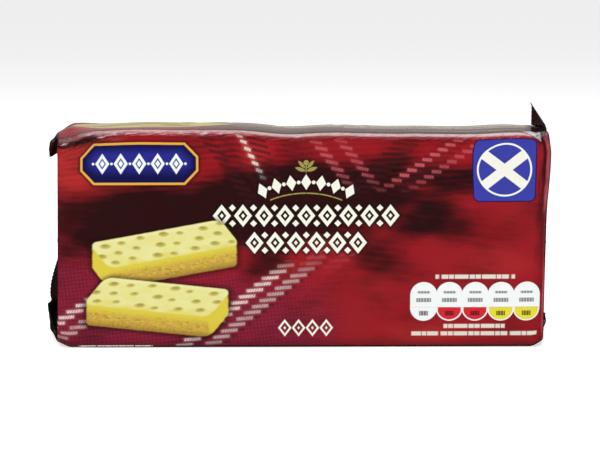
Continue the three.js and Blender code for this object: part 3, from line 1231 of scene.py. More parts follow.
@dataclass(frozen=True)
class Motif:
    """A shape or a group of shapes of the print, drawn once as a shader group with named numbers."""

    @property
    def title(self) -> str:
        """Return the name of the motif's shader group."""
        return f"print_{type(self).__name__.lower()}"

    def numbers(self) -> dict[str, float]:
        """Return the numbers by which this use of the group differs from others."""
        return {}

    def draw(self, place: Place, under: Colour, given: Numbers) -> Colour:
        """Draw the motif inside its group.

        Args:
            place: The place on the flat film.
            under: The colour of the print so far.
            given: The group's named numbers.

        Returns:
            The colour of the print with the motif.
        """
        raise NotImplementedError

    def lay(self, place: Place, under: Colour | Ink) -> Colour:
        """Lay the motif over the colour under it, with the group that every motif of its class shares."""
        sheet = place.x.sheet
        tree = bpy.data.node_groups.get(self.title) or self._group()
        used = sheet.node("ShaderNodeGroup", node_tree=tree)
        for name, value in {"X": place.x, "Z": place.z, "Under": under, **self.numbers()}.items():
            sheet.feed(used.inputs[name], value)
        return used.outputs["Colour"]

    def _group(self) -> bpy.types.NodeTree:
        """Build the shader group."""
        tree = bpy.data.node_groups.new(self.title, "ShaderNodeTree")
        for name in ("X", "Z", *self.numbers()):
            tree.interface.new_socket(name, in_out="INPUT", socket_type="NodeSocketFloat")
        tree.interface.new_socket("Under", in_out="INPUT", socket_type="NodeSocketColor")
        tree.interface.new_socket("Colour", in_out="OUTPUT", socket_type="NodeSocketColor")
        sheet = Sheet(tree)
        ports = sheet.node("NodeGroupInput").outputs
        given = {name: Field(sheet, ports[name]) for name in self.numbers()}
        place = Place(Field(sheet, ports["X"]), Field(sheet, ports["Z"]))
        colour = self.draw(place, ports["Under"], given)
        sheet.feed(sheet.node("NodeGroupOutput").inputs["Colour"], colour)
        return tree


@dataclass(frozen=True)
class Pool:
    """A soft oval: its middle, its half sizes, its turn in degrees and its strength."""

    x: float
    z: float
    half_x: float
    half_z: float
    turn: float = 0.0
    strength: float = 1.0

    def on(self, place: Place) -> Field:
        """Return the strength of the oval at a place, which fades to 0 over its outer part."""
        near = place.about(self.x, self.z).turned(self.turn)
        return Place(near.x / self.half_x, near.z / self.half_z).far().rise(1.15, 0.3) * self.strength


def pooled(pools: tuple[Pool, ...], place: Place) -> Field:
    """Return the strengths of all the pools together at a place."""
    first, *rest = (pool.on(place) for pool in pools)
    return sum(rest, first)


@dataclass(frozen=True)
class Ground(Motif):
    """The cloth ground, out of focus: red, plum and near black, in broad checks with a fine weave."""

    bright: tuple[Pool, ...] = (
        Pool(-78, 63, 22, 13),
        Pool(-27, 9, 8, 3.5, 32, 0.7),
        Pool(0, 11, 9, 4, 25, 0.6),
        Pool(40, 5, 16, 5, -6, 0.5),
        Pool(-16, 66, 7, 5, 10, 0.7),
        Pool(66, 30, 17, 6, -8, 0.4),
    )
    dark: tuple[Pool, ...] = (
        Pool(-22, 47, 52, 15, 5, 1.4),
        Pool(-66, 44, 36, 14, 3, 1.2),
        Pool(10, 57, 44, 11, 3, 1.1),
        Pool(36, 46, 36, 10, -10, 0.95),
        Pool(53, 58, 17, 7, -6, 0.9),
        Pool(-24, 63, 5, 10, 22, 0.55),
        Pool(24, 33, 26, 8, -25, 0.65),
        Pool(-14, 30, 14, 6, 30, 0.6),
        Pool(-36, 4, 12, 4, 25, 0.5),
        Pool(50, 71, 14, 3, 0, 0.3),
        Pool(83, 40, 6, 60, 0, 0.3),
        Pool(24, 15, 9, 5, -40, 0.4),
    )
    check_turns: tuple[float, float] = (42, -55)
    check_pitches: tuple[float, float] = (23, 29)
    weave_pitch: float = 1.25
    row_pitch: float = 1.9

    def draw(self, place: Place, under: Colour, given: Numbers) -> Colour:
        """Draw the ground."""
        sheet = place.x.sheet
        clouds = sheet.noise(place, 20, 9, 4, seed=3.0) - 0.5
        streaks = sheet.noise(place.turned(-6), 11, 1.7, 4, seed=8.0) - 0.5
        bright = pooled(self.bright, place) + clouds * 0.6 + streaks * 0.3
        plum = (place.z + place.x * 0.2 + clouds * 16).rise(30, 9) * place.x.rise(22, -10)
        red = lay(Ink.RED, (Ink.BRIGHT_RED, bright.held()), (Ink.PLUM, plum))
        rows = ((place.z - place.x * 0.07) / self.row_pitch).from_middle() - 0.25
        rows = rows * place.z.rise(48, 58) * place.x.rise(70, 50) * (clouds + 0.6)
        rough = clouds * 0.9 + streaks * 0.85 + rows
        depth = pooled(self.dark, place) + self._checks(place) + rough
        # The top's taupe print under a painted reflection: painted shade darkens it towards the front edge,
        # and a painted pale sheen lightens it towards the back.
        taupe = lay(
            Ink.TAUPE,
            (Ink.SHADE, (place.z + streaks * 14).rise(94, 77) * 0.85),
            (Ink.CREAM, (place.z + streaks * 20).rise(88, 106) * 0.5),
        )
        top = place.z.rise(74.6, 76.2) * (place.z - 106).rise(2.2, 0.4)
        return lay(
            red,
            (Ink.DARK, depth.rise(-0.05, 1.4) * 0.97),
            (Ink.DARK, self._weave(place) * (plum * 0.34 + 0.1) * (streaks + 0.9)),
            (taupe, top * (place.x + streaks * 40).rise(-50, -18) * 0.94),
        )

    def _checks(self, place: Place) -> Field:
        """Return how dark the broad bands are, which cross along both diagonals."""
        rising, falling = (
            place.x.sheet.math("SINE", place.turned(turn).z * (2 * math.pi / pitch)).rise(-0.3, 0.9)
            for turn, pitch in zip(self.check_turns, self.check_pitches)
        )
        return rising * 0.26 + falling * 0.2

    def _weave(self, place: Place) -> Field:
        """Return the fine weave, dark between its threads."""
        threads = place.turned(7)
        turn = 2 * math.pi / self.weave_pitch
        across, along = (place.x.sheet.math("SINE", way * turn) for way in (threads.x, threads.z))
        return (across + along) * 0.35 + 0.5


@dataclass(frozen=True)
class Twill(Motif):
    """A line of the cloth's pattern, rows of slanted stitches along a diagonal, and a weaker one by it."""

    foot: tuple[float, float]
    head: tuple[float, float]
    ink: Ink
    strength: float
    second: float
    apart: float
    width: float = 4.9
    tilt: float = 0.09
    phase: float = 0.0
    blur: float = 0.25
    row_pitch: float = 1.9
    stitch: float = 0.85
    fade: float = 6.0

    @property
    def title(self) -> str:
        """Return the name of the shader group, one for each ink."""
        return f"print_twill_{self.ink.name.lower()}"

    def numbers(self) -> dict[str, float]:
        """Return the line's own numbers."""
        (x0, z0), (x1, z1) = self.foot, self.head
        own = {"Foot X": x0, "Foot Z": z0, "Slope": (x1 - x0) / (z1 - z0), "Head Z": z1}
        shared = ("strength", "second", "apart", "width", "tilt", "phase", "blur")
        return {**own, **{name.title(): getattr(self, name) for name in shared}}

    def draw(self, place: Place, under: Colour, given: Numbers) -> Colour:
        """Draw the two lines."""
        sheet = place.x.sheet
        lean = place.x * given["Tilt"]
        row = (place.z - lean) / self.row_pitch + given["Phase"]
        middle = (row.floor() + 0.5 - given["Phase"]) * self.row_pitch + lean
        first = place.x - given["Foot X"] - (middle - given["Foot Z"]) * given["Slope"]
        is_second = (first - given["Apart"] * 0.5).rise(-0.05, 0.05)
        across = first.size().least((first - given["Apart"]).size()) - given["Width"] * 0.5
        ends = across.cover(given["Blur"] + 0.2)
        rows = (row.from_middle() * self.row_pitch - self.row_pitch * 0.27).cover(given["Blur"])
        stitches = (((place.x - place.z * 0.45) / self.stitch).from_middle() - 0.34).cover(given["Blur"])
        worn = sheet.noise(place, 3.0, 2.0, 2, seed=51.0).rise(0.25, 0.55) * 0.35 + 0.65
        weight = is_second * (given["Second"] - 1.0) + 1.0
        low = (place.z - given["Foot Z"]) / self.fade + 0.3
        high = (given["Head Z"] - place.z) / self.fade + 0.3
        span = low.least(high).held() * weight * given["Strength"] * worn
        halo = across.cover(1.8) * 0.12
        threads = rows * ends * (stitches * 0.65 + 0.35)
        return lay(under, (self.ink, (threads + halo).least(1.0) * span))


@dataclass(frozen=True)
class Plaque(Motif):
    """A level blue plaque with a gold frame and a row of white lozenges."""

    x: float = -54.5
    z: float = 62.6
    half_x: float = 19.5
    half_z: float = 6.7
    chamfer: float = 4.4
    frame: float = 0.75
    lozenges: int = 5
    pitch: float = 6.1

    def draw(self, place: Place, under: Colour, given: Numbers) -> Colour:
        """Draw the plaque."""
        at = place.about(self.x, self.z)
        shape = at.plaque(self.half_x, self.half_z, self.chamfer)
        inner = shape + self.frame
        glow = (inner + 0.3).rise(0.2, -3.4) * at.z.rise(-5.5, 1.0)
        cell = at.in_row(self.pitch, self.lozenges)
        dots = at.in_row(self.pitch, self.lozenges + 1)
        return lay(
            under,
            (Ink.DARK, (shape - 0.4).rise(0.9, -0.2) * 0.6),
            (Ink.GOLD, shape.cover()),
            (Ink.DEEP_BLUE, inner.cover()),
            (Ink.BLUE, glow * inner.cover()),
            (Ink.WHITE, cell.lozenge(2.35, 3.3).cover()),
            (Ink.BLUE, cell.lozenge(1.25, 1.8).cover()),
            (Ink.WHITE, cell.lozenge(0.8, 1.1).cover()),
            (Ink.WHITE, dots.disc(0.42).cover()),
        )


@dataclass(frozen=True)
class Badge(Motif):
    """A blue rounded square with cream diagonal bands in a white ring."""

    x: float = 67.2
    z: float = 61.1
    half_x: float = 10.4
    half_z: float = 10.75
    corner: float = 2.2
    ring: float = 8.6
    line: float = 0.3
    band: float = 1.6
    shoulder: float = 0.85

    def draw(self, place: Place, under: Colour, given: Numbers) -> Colour:
        """Draw the badge, straight although the film under it is drawn out at the shoulder."""
        at = place.about(self.x, self.z)
        at = Place(at.x + at.z.rise(-17, 3) * at.z.rise(11, 5) * self.shoulder, at.z)
        square = at.box(self.half_x, self.half_z, self.corner)
        disc = at.disc(self.ring)
        bands = (at.x.size() * 0.62 - at.z.size() * 0.785).size() - self.band
        return lay(
            under,
            (Ink.DEEP_BLUE, square.cover()),
            (Ink.BADGE_BLUE, (square + 0.35).cover()),
            (Ink.CREAM, bands.cover() * disc.cover()),
            (Ink.WHITE, (disc.size() - self.line).cover()),
        )


@dataclass(frozen=True)
class Sprig(Motif):
    """A small sprig: a bud between two pairs of leaves, over a thin arc."""

    x: float = 0.8
    z: float = 62.4
    arc_top: float = 53.5
    arc_radius: float = 31.2
    arc_reach: float = 12.0

    def draw(self, place: Place, under: Colour, given: Numbers) -> Colour:
        """Draw the sprig and the arc."""
        at = place.about(self.x, self.z)
        half = at.mirrored()
        low = half.about(1.9, -0.9).turned(18).leaf(1.9, 0.62)
        high = half.about(1.5, 0.7).turned(48).leaf(1.7, 0.55)
        bud = at.about(0, 1.3).disc(0.85)
        stem = at.about(0, -0.9).box(0.22, 1.3)
        below = place.about(self.x, self.arc_top - self.arc_radius)
        arc = (below.disc(self.arc_radius).size() - 0.2).most(below.x.size() - self.arc_reach)
        return lay(under, (Ink.OLIVE, low.least(high).least(bud).least(stem).least(arc).cover()))


@dataclass(frozen=True)
class Title(Motif):
    """The ornament in the middle: an arched row of lozenges and two level friezes.

    Each frieze is given by its height, how many lozenges it has and their pitch.
    """

    x: float = 0.8
    friezes: tuple[tuple[float, int, float], ...] = ((45.9, 9, 7.05), (36.7, 6, 6.95))
    arch_centre: float = 22.3
    arch_radius: float = 34.9
    arch_pitch: float = 5.0
    arch_count: int = 7

    def draw(self, place: Place, under: Colour, given: Numbers) -> Colour:
        """Draw the whole ornament, with a dark edge round its cream shapes."""
        shapes = self._arch(place)
        for z, count, pitch in self.friezes:
            shapes = shapes.least(self._frieze(place, z, count, pitch))
        return lay(under, (Ink.DARK, shapes.rise(1.2, 0.0) * 0.8), (Ink.CREAM, shapes.cover()))

    def _arch(self, place: Place) -> Field:
        """Return the arched row of small lozenges and dots, spaced evenly round the arc's centre."""
        at = place.about(self.x, self.arch_centre)
        turn = at.x.sheet.math("ARCTAN2", at.x, at.z) * self.arch_radius
        unrolled = Place(turn, at.disc(self.arch_radius))
        lozenges = unrolled.in_row(self.arch_pitch, self.arch_count).lozenge(1.7, 2.6)
        return lozenges.least(unrolled.in_row(self.arch_pitch, self.arch_count - 1).disc(0.62))

    def _frieze(self, place: Place, z: float, count: int, pitch: float) -> Field:
        """Return a level row of pierced lozenges, with a small one above and below each gap."""
        at = place.about(self.x, z)
        cell = at.in_row(pitch, count)
        ring = cell.lozenge(3.0, 3.75).most(cell.lozenge(1.55, 1.95) * -1.0)
        gap = at.in_row(pitch, count - 1)
        small = Place(gap.x, gap.z.size()).about(0, 2.6).lozenge(1.15, 1.15)
        return ring.least(cell.lozenge(0.65, 0.8)).least(small)


@dataclass(frozen=True)
class Finger(Motif):
    """A shortbread finger: its dimpled top, one long side and one end. Its edges are steps in X and Z."""

    corner: tuple[float, float]
    long: tuple[float, float]
    wide: tuple[float, float]
    thick: float = 7.0
    rounding: float = 2.6
    dimple_pitch: float = 6.6
    dimple_rows: int = 3
    layers: int = 9

    def numbers(self) -> dict[str, float]:
        """Return the finger's corner and edges."""
        (x, z), (lx, lz), (wx, wz) = self.corner, self.long, self.wide
        return {"X0": x, "Z0": z, "Long X": lx, "Long Z": lz, "Wide X": wx, "Wide Z": wz}

    def draw(self, place: Place, under: Colour, given: Numbers) -> Colour:
        """Draw the finger and its soft shadow."""
        at = place.about(given["X0"], given["Z0"])
        length = Place(given["Long X"], given["Long Z"]).far()
        width = Place(given["Wide X"], given["Wide Z"]).far()
        face = self._face(at, given, length, width)
        whole = face
        for layer in range(1, self.layers + 1):
            lowered = Place(at.x, at.z + self.thick * layer / self.layers)
            whole = whole.least(self._face(lowered, given, length, width))
        crumb = place.x.sheet.noise(place, 1.9, 1.0, 4, seed=5.0)
        top = self._on_top(at, given, length, width)
        return lay(
            under,
            (Ink.DARK, whole.rise(2.6, 0.0) * 0.65),
            (self._wall(place, at, given, crumb), (whole + (crumb - 0.5) * 0.7).cover(0.5)),
            (self._light(place, top, width, face), face.cover(0.5)),
        )

    def _wall(self, place: Place, at: Place, given: Numbers, crumb: Field) -> Colour:
        """Return the colour of the finger's side and end, by the grain of its crumb."""
        flecks = place.x.sheet.noise(place, 1.1, 0.8, 3, seed=15.0)
        below = at.x * (given["Long Z"] / given["Long X"]) - at.z
        return lay(
            Ink.CRUMB,
            (Ink.BISCUIT_EDGE, crumb.rise(0.42, 0.66) * 0.6),
            (Ink.CRUMB_DARK, flecks.rise(0.5, 0.75) * 0.75),
            (Ink.BISCUIT_EDGE, (below + crumb * 3.4).rise(5.0, 2.2)),
            (Ink.BISCUIT_EDGE, self._end(at, given) * 0.8),
            (Ink.CRUMB_DARK, (below - self.thick + crumb).rise(-2.4, 0.8) * 0.65),
        )

    def _light(self, place: Place, top: Place, width: Field, face: Field) -> Colour:
        """Return the colour of the finger's top with its dimples."""
        across = top.z / width
        sheen = place.x.sheet.noise(place, 6, 3, 3, seed=9.0) - 0.5
        return lay(
            Ink.BISCUIT,
            (Ink.BISCUIT_EDGE, (across + sheen * 0.5).rise(0.3, -0.12) * 0.6),
            (Ink.BISCUIT_PALE, (sheen * 2 + 0.3).held() * 0.7),
            (Ink.BISCUIT_PALE, face.rise(-1.6, -0.5) * across.rise(0.6, 0.9) * 0.7),
            (Ink.DIMPLE, self._dimples(top, width, 0.0).rise(0.42, -0.12) * 0.75),
            (Ink.CRUMB_DARK, self._dimples(top, width, 0.3).rise(0.0, -0.5) * 0.4),
        )

    @staticmethod
    def _on_top(at: Place, given: Numbers, length: Field, width: Field) -> Place:
        """Return the place measured along the finger and across it, in millimetres of its top."""
        lx, lz, wx, wz = (given[name] for name in ("Long X", "Long Z", "Wide X", "Wide Z"))
        cross = lx * wz - lz * wx
        return Place((at.x * wz - at.z * wx) / cross * length, (at.z * lx - at.x * lz) / cross * width)

    def _face(self, at: Place, given: Numbers, length: Field, width: Field) -> Field:
        """Return the signed distance from the finger's top, in millimetres of the top."""
        top = self._on_top(at, given, length, width)
        past = (
            ((along - whole * 0.5).size() - whole * 0.5 + self.rounding).most(0.0)
            for along, whole in ((top.x, length), (top.z, width))
        )
        return Place(*past).disc(self.rounding)

    @staticmethod
    def _end(at: Place, given: Numbers) -> Field:
        """Return 1 on the end that shows, which is the one that the finger's width leans away from."""
        leans_left = (given["Wide X"] * -10.0 + 0.5).held()
        left = at.x.rise(0.9, -0.5)
        right = (at.x - given["Long X"]).rise(-0.9, 0.5)
        return left * leans_left + right * leans_left.rest()

    def _dimples(self, top: Place, width: Field, shift: float) -> Field:
        """Return the signed distance from the dimples.

        Args:
            top: The place on the finger's top.
            width: The top's width.
            shift: How far the dimples are moved across the top.

        Returns:
            The distance, below 0 in a dimple. The dimples lie in staggered rows, none of them quite in line.
        """
        sheet = top.x.sheet
        pitch = width / self.dimple_rows
        row = (top.z / pitch).floor().most(0.0).least(self.dimple_rows - 1.0)
        count = (top.x + row * (self.dimple_pitch / 2)) / self.dimple_pitch
        wander = sheet.math("SINE", count.floor() * 2.4 + row * 4.1)
        stray = sheet.math("SINE", count.floor() * 4.7 + row * 1.9)
        aside = (count.fraction() - 0.5 + wander * 0.13) * (self.dimple_pitch / 1.7)
        along = top.z - (row + 0.5) * pitch + stray * 0.5 - shift
        return Place(aside, along).disc(0.66) + wander * 0.14


@dataclass(frozen=True)
class Pills(Motif):
    """Five upright pills in a row, white above and white, red or yellow below, with grey bars in them."""

    x: float = 57.95
    z: float = 16.3
    pitch: float = 8.72
    half_x: float = 4.55
    half_z: float = 6.75
    split: float = -2.0
    rim: float = 0.45
    count: int = 5

    def draw(self, place: Place, under: Colour, given: Numbers) -> Colour:
        """Draw the pills."""
        at = place.about(self.x, self.z)
        cell = at.in_row(self.pitch, self.count)
        pill = cell.box(self.half_x, self.half_z, self.half_x)
        inside = (cell.x.size() - self.pitch / 2 + self.rim).cover()
        below = (pill + self.rim).cover() * (cell.z - self.split).cover() * inside
        step = at.x / self.pitch
        words = cell.about(0, 3.2).box(2.1, 0.42).least(cell.about(0, 0.5).box(2.5, 0.7))
        share = cell.about(0, -4.1).box(1.5, 0.8)
        ticks = (cell.x / 0.95).from_middle().rise(0.46, 0.28) * 0.45 + 0.4
        split = cell.about(0, self.split).box(self.half_x, 0.05)
        return lay(
            under,
            (Ink.WHITE, pill.cover()),
            (Ink.LABEL_RED, below * step.rise(-1.52, -1.48)),
            (Ink.LABEL_YELLOW, below * step.rise(0.48, 0.52)),
            (Ink.GREY, words.cover() * ticks),
            (Ink.SHADE, share.cover() * ticks),
            (Ink.GREY, split.cover() * pill.cover() * 0.4),
        )


@dataclass(frozen=True)
class Block(Motif):
    """A level block that is laid in several places: its middle and its half sizes."""

    x: float
    z: float
    half_x: float
    half_z: float

    def numbers(self) -> dict[str, float]:
        """Return the block's place and size."""
        return {"Middle X": self.x, "Middle Z": self.z, "Half X": self.half_x, "Half Z": self.half_z}

    @staticmethod
    def _within(place: Place, given: Numbers) -> tuple[Place, Field]:
        """Return the place from the block's middle, and the signed distance from its edge."""
        at = place.about(given["Middle X"], given["Middle Z"])
        return at, (at.x.size() - given["Half X"]).most(at.z.size() - given["Half Z"])


@dataclass(frozen=True)
class Caption(Block):
    """A row of small cream bars of unequal length."""

    strength: float = 0.78
    pitch: float = 3.1

    def numbers(self) -> dict[str, float]:
        """Return the row's place, size, strength and pitch."""
        return {**super().numbers(), "Strength": self.strength, "Pitch": self.pitch}

    def draw(self, place: Place, under: Colour, given: Numbers) -> Colour:
        """Draw the bars."""
        at, row = self._within(place, given)
        bars = uneven_bars(at.x / given["Pitch"])
        return lay(under, (Ink.CREAM, row.cover(0.3) * bars * given["Strength"]))


def uneven_bars(count: Field) -> Field:
    """Return 1 apart from the gaps of a row of bars of unequal length, one for each whole number."""
    uneven = count.sheet.math("SINE", count * 2.3) * 0.33
    return (count + uneven).from_middle().rise(0.48, 0.4)


@dataclass(frozen=True)
class Weight(Motif):
    """A row of four outlined lozenges."""

    x: float = 0.5
    z: float = 7.2
    pitch: float = 4.7
    count: int = 4
    line: float = 0.32

    def draw(self, place: Place, under: Colour, given: Numbers) -> Colour:
        """Draw the lozenges."""
        cell = place.about(self.x, self.z).in_row(self.pitch, self.count)
        outline = cell.lozenge(1.9, 2.5).size() - self.line
        return lay(under, (Ink.CREAM, outline.least(cell.lozenge(0.45, 0.6)).cover(0.2)))


@dataclass(frozen=True)
class Sash(Motif):
    """The pale gold sash along the top."""

    x: float = -54.0
    z: float = 95.5
    half_x: float = 29.0
    half_z: float = 10.5

    def draw(self, place: Place, under: Colour, given: Numbers) -> Colour:
        """Draw the sash with its darker waves, and the pink ground round it."""
        sash = place.about(self.x, self.z).turned(3).leaf(self.half_x, self.half_z).cover(0.9)
        pink = (place.z - TOP_FRONT).rise(1.5, 4.0) * (place.z - TOP_BACK).rise(0.5, -2.5)
        pink = pink * place.x.rise(-16, -52)
        waves = place.x.sheet.noise(place.turned(14), 16, 5, 3, seed=52.0).rise(0.42, 0.62)
        return lay(under, (Ink.PINK, pink * 0.3), (Ink.SASH, sash), (Ink.CRUMB_DARK, sash * waves * 0.5))


@dataclass(frozen=True)
class Panel(Block):
    """A cream panel with rows of grey bars."""

    row_pitch: float = 3.2
    margin: float = 2.0

    def draw(self, place: Place, under: Colour, given: Numbers) -> Colour:
        """Draw the panel."""
        at, edge = self._within(place, given)
        row = at.z / self.row_pitch
        words = row.from_middle().rise(0.22, 0.14) * uneven_bars((at.x + row.floor() * 5.3) / 4.6)
        inside = (edge + self.margin).cover()
        return lay(under, (Ink.CREAM, edge.cover()), (Ink.GREY, words * inside * 0.75))


@dataclass(frozen=True)
class Wear(Motif):
    """Painted light along the upper edges: painted highlights and sheen along the top front edge and the back
    edge, painted shade in the folds by the upper left corner, and painted glare, glints and specks where the
    film is crumpled.
    """

    edge: float = 74.9
    back_edge: float = 106.0
    folds: tuple[Pool, ...] = (Pool(-76, 73.4, 13, 4.4, -4, 1.5), Pool(-58, 73.8, 18, 1.8, 0, 0.7))
    glints: tuple[tuple[float, float], ...] = ((-71.4, 74.2), (-62.8, 73.8), (-67.0, 72.0), (-79.5, 72.6))

    def draw(self, place: Place, under: Colour, given: Numbers) -> Colour:
        """Draw the painted shade of the folds by the upper left corner, and the painted highlight line,
        sheen, glare, glints and specks.
        """
        sheet = place.x.sheet
        crumple = sheet.noise(place.turned(4), 7.5, 1.15, 5, seed=12.0)
        fine = sheet.noise(place.turned(-9), 2.6, 0.8, 4, seed=21.0)
        broken = sheet.noise(place.turned(12), 3.2, 1.0, 4, seed=73.0)
        # Painted shade: dark folds by the upper left corner, broken up by the crumple.
        fold = pooled(self.folds, place)
        off = place.z - self.edge + (crumple - 0.5) * 0.9
        calm = place.x.rise(-80, -62) * 0.8 + 0.2
        # Painted glare just below the top front edge, on its left half.
        glare = off.rise(-3.2, -1.4) * off.cover(0.6) * place.x.rise(-72, -64) * place.x.rise(-8, -26)
        # Painted shade in the folds, a painted pink sheen below the top front edge, a painted pale highlight
        # line on it, the painted glare, and painted bright red glints in the folds.
        coats = [
            (Ink.EDGE_BLACK, (fold * (crumple * 3.2 - 0.5)).least(0.94).most(0.0)),
            (Ink.PINK, off.rise(-3.4, -0.2) * off.cover(0.8) * calm * (fine + 0.3)),
            (Ink.PINK_WHITE, off.size().rise(2.0, 0.6) * (calm * (fine * 2.4 - 0.15)).held()),
            (Ink.PINK, glare * crumple.rise(0.36, 0.5) * 0.7),
            (Ink.PINK_WHITE, glare * broken.rise(0.5, 0.6) * 0.9),
            (Ink.BRIGHT_RED, fold.least(1.0) * place.x.rise(-69, -77) * broken.rise(0.52, 0.62) * 0.8),
        ]
        # Painted glints by the upper left corner.
        for x, z in self.glints:
            glint = place.about(x, z).turned(20)
            shine = (glint.x.size() * 0.45 + glint.z.size()).rise(1.0, 0.3)
            coats.append((Ink.PINK_WHITE, shine * broken.rise(0.3, 0.5)))
        # A painted highlight along the back's upper edge, and painted white specks on the top.
        back = place.z.near(self.back_edge, 2.2, 0.4) * crumple.rise(0.44, 0.58)
        specks = fine.rise(0.6, 0.66) * place.z.near(101.0, 5, 3) * place.x.rise(-10, 10)
        return lay(under, *coats, (Ink.PINK_WHITE, back * fine), (Ink.WHITE, specks * 0.8))


@dataclass(frozen=True)
class Corner(Motif):
    """Painted glare on a small tuck at the upper right: a pale white patch, with painted shade round it and
    along its creases.
    """

    corners: tuple[tuple[float, float], ...] = ((73.2, 78.6), (78.4, 70.9), (81.4, 77.6), (78.5, 80.5))
    creases: tuple[float, float] = (38, -12)

    def draw(self, place: Place, under: Colour, given: Numbers) -> Colour:
        """Draw the painted glare on the tuck, and the painted shade round it and in its creases."""
        sheet = place.x.sheet
        crumple = sheet.noise(place.turned(-30), 2.6, 1.0, 4, seed=31.0) - 0.5
        following = (*self.corners[1:], self.corners[0])
        sides = [place.aside(start, end) for start, end in zip(self.corners, following)]
        shape = sides[0].most(sides[1]).most(sides[2]).most(sides[3]) + crumple * 1.7
        # Painted shade round the tuck, then the painted glare as a pale white patch.
        coats = [
            (Ink.DARK, (shape - 0.4).rise(0.7, -0.1) * 0.8),
            (Ink.WHITE, shape.cover(0.4) * (crumple * 2.6 + 1.0).held()),
        ]
        # Painted shade along the tuck's creases.
        for turn in self.creases:
            off = place.about(*self.corners[1]).turned(turn).z + crumple * 2.2
            coats.append((Ink.DARK, off.near(3.0, 0.32, 0.04) * shape.rise(1.2, 0.2) * 0.8))
        return lay(under, *coats)


@dataclass(frozen=True)
class Ends(Motif):
    """The plain dark film past the print at both ends, with painted shade at the base and painted light by
    the right edge.
    """

    left: float = -82.4
    right: tuple[float, float] = (81.5, 84.5)
    base: float = 0.55
    rub: float = 81.0
    ear: tuple[float, float] = (76.4, 77.2)

    def draw(self, place: Place, under: Colour, given: Numbers) -> Colour:
        """Draw the dark film, the painted shade and the painted highlight."""
        sheet = place.x.sheet
        worn = sheet.noise(place, 1.4, 7.0, 4, seed=41.0) - 0.5
        on_front = (place.z + 5.0).rise(-3, 3)
        past = (place.x - self.left).cover(0.3)
        # Painted shade on the rounded right edge, from a third of the way up.
        shaded = place.z.rise(22, 36) * 0.5 + place.z.rise(40, 70) * 0.25
        # A painted highlight strip down the right edge, a long one high up and a short one low down, with a
        # painted dark crease line beside it.
        rub = place.x - self.rub + worn * 1.2
        rubbed = rub.near(0.0, 1.3, 0.5) * place.z.near(61.0, 17, 10)
        low = rub.near(0.6, 0.8, 0.3) * place.z.near(17.0, 14, 8)
        # Painted shade darkens the front towards its base and turns it black along the lower edge.
        return lay(
            under,
            (Ink.SHADE, place.z.rise(4.5, 0.5) * on_front * 0.5),
            (Ink.EDGE_BLACK, (place.z - self.base).cover(0.4) * on_front),
            (Ink.EDGE_BLACK, past),
            (Ink.SHADE, past * place.z.near(TOP_FRONT, 16, 8) * (worn * 2.0 + 0.9)),
            (Ink.SHADE, (place.x + worn * 5.0).rise(77.2, 79.5) * shaded),
            (Ink.DARK, rub.near(-1.6, 0.7, 0.2) * place.z.rise(52, 60) * 0.7),
            (Ink.PINK, (rubbed + low) * (worn * 1.5 + 0.5)),
            (Ink.EDGE_BLACK, place.z.near(86.5, 8.5, 7.5) * place.x.rise(*self.ear) * 0.95),
            (Ink.EDGE_BLACK, place.x.rise(*self.right) * 0.85),
        )


@dataclass(frozen=True)
class Gloss:
    """The gloss of coated film: how rough it is, how deep its fine ripples are and how much it shines."""

    roughness: float = 0.12
    smudge: float = 0.1
    ripple: float = 0.25 * MM
    ripple_size: float = 5 * MM
    ripple_strength: float = 0.6
    level: float = 0.4

    def dress(self, sheet: Sheet, coat: bpy.types.Node, ripples: bpy.types.NodeTree) -> None:
        """Give a shader the gloss and the ripples.

        Args:
            sheet: The material's tree.
            coat: Its Principled BSDF.
            ripples: The group that makes the ripples' height and the smudges.
        """
        group = sheet.node("ShaderNodeGroup", node_tree=ripples)
        group.inputs["Size"].default_value = self.ripple_size
        bump = sheet.node("ShaderNodeBump")
        bump.inputs["Distance"].default_value = self.ripple
        bump.inputs["Strength"].default_value = self.ripple_strength
        sheet.feed(bump.inputs["Height"], group.outputs["Height"])
        sheet.feed(coat.inputs["Normal"], bump.outputs[0])
        smudge = Field(sheet, group.outputs["Smudge"])
        sheet.feed(coat.inputs["Roughness"], smudge * self.smudge + self.roughness)
        coat.inputs["Specular IOR Level"].default_value = self.level


def film_ripples() -> bpy.types.NodeTree:
    """Build the group that every film uses: the height of its fine ripples, and its smudges."""
    tree = bpy.data.node_groups.new("film_ripples", "ShaderNodeTree")
    tree.interface.new_socket("Size", in_out="INPUT", socket_type="NodeSocketFloat")
    tree.interface.new_socket("Height", in_out="OUTPUT", socket_type="NodeSocketFloat")
    tree.interface.new_socket("Smudge", in_out="OUTPUT", socket_type="NodeSocketFloat")
    sheet = Sheet(tree)
    size = Field(sheet, sheet.node("NodeGroupInput").outputs["Size"])
    scaled = sheet.node("ShaderNodeVectorMath", operation="SCALE")
    sheet.feed(scaled.inputs[0], sheet.node("ShaderNodeTexCoord").outputs["Object"])
    sheet.feed(scaled.inputs["Scale"], sheet.math("DIVIDE", 1.0, size))
    ripple = sheet.grain(scaled.outputs[0], Scale=1.0, Detail=2.0, Distortion=0.6)
    smudge = sheet.grain(scaled.outputs[0], Scale=0.35)
    out = sheet.node("NodeGroupOutput")
    sheet.feed(out.inputs["Height"], ripple)
    sheet.feed(out.inputs["Smudge"], smudge)
    return tree


def new_paint(name: str) -> tuple[bpy.types.Material, Sheet, bpy.types.Node]:
    """Return a new material, the sheet of its tree and its Principled BSDF."""
    made = bpy.data.materials.new(name)
    made.use_nodes = True
    return made, Sheet(made.node_tree), made.node_tree.nodes["Principled BSDF"]


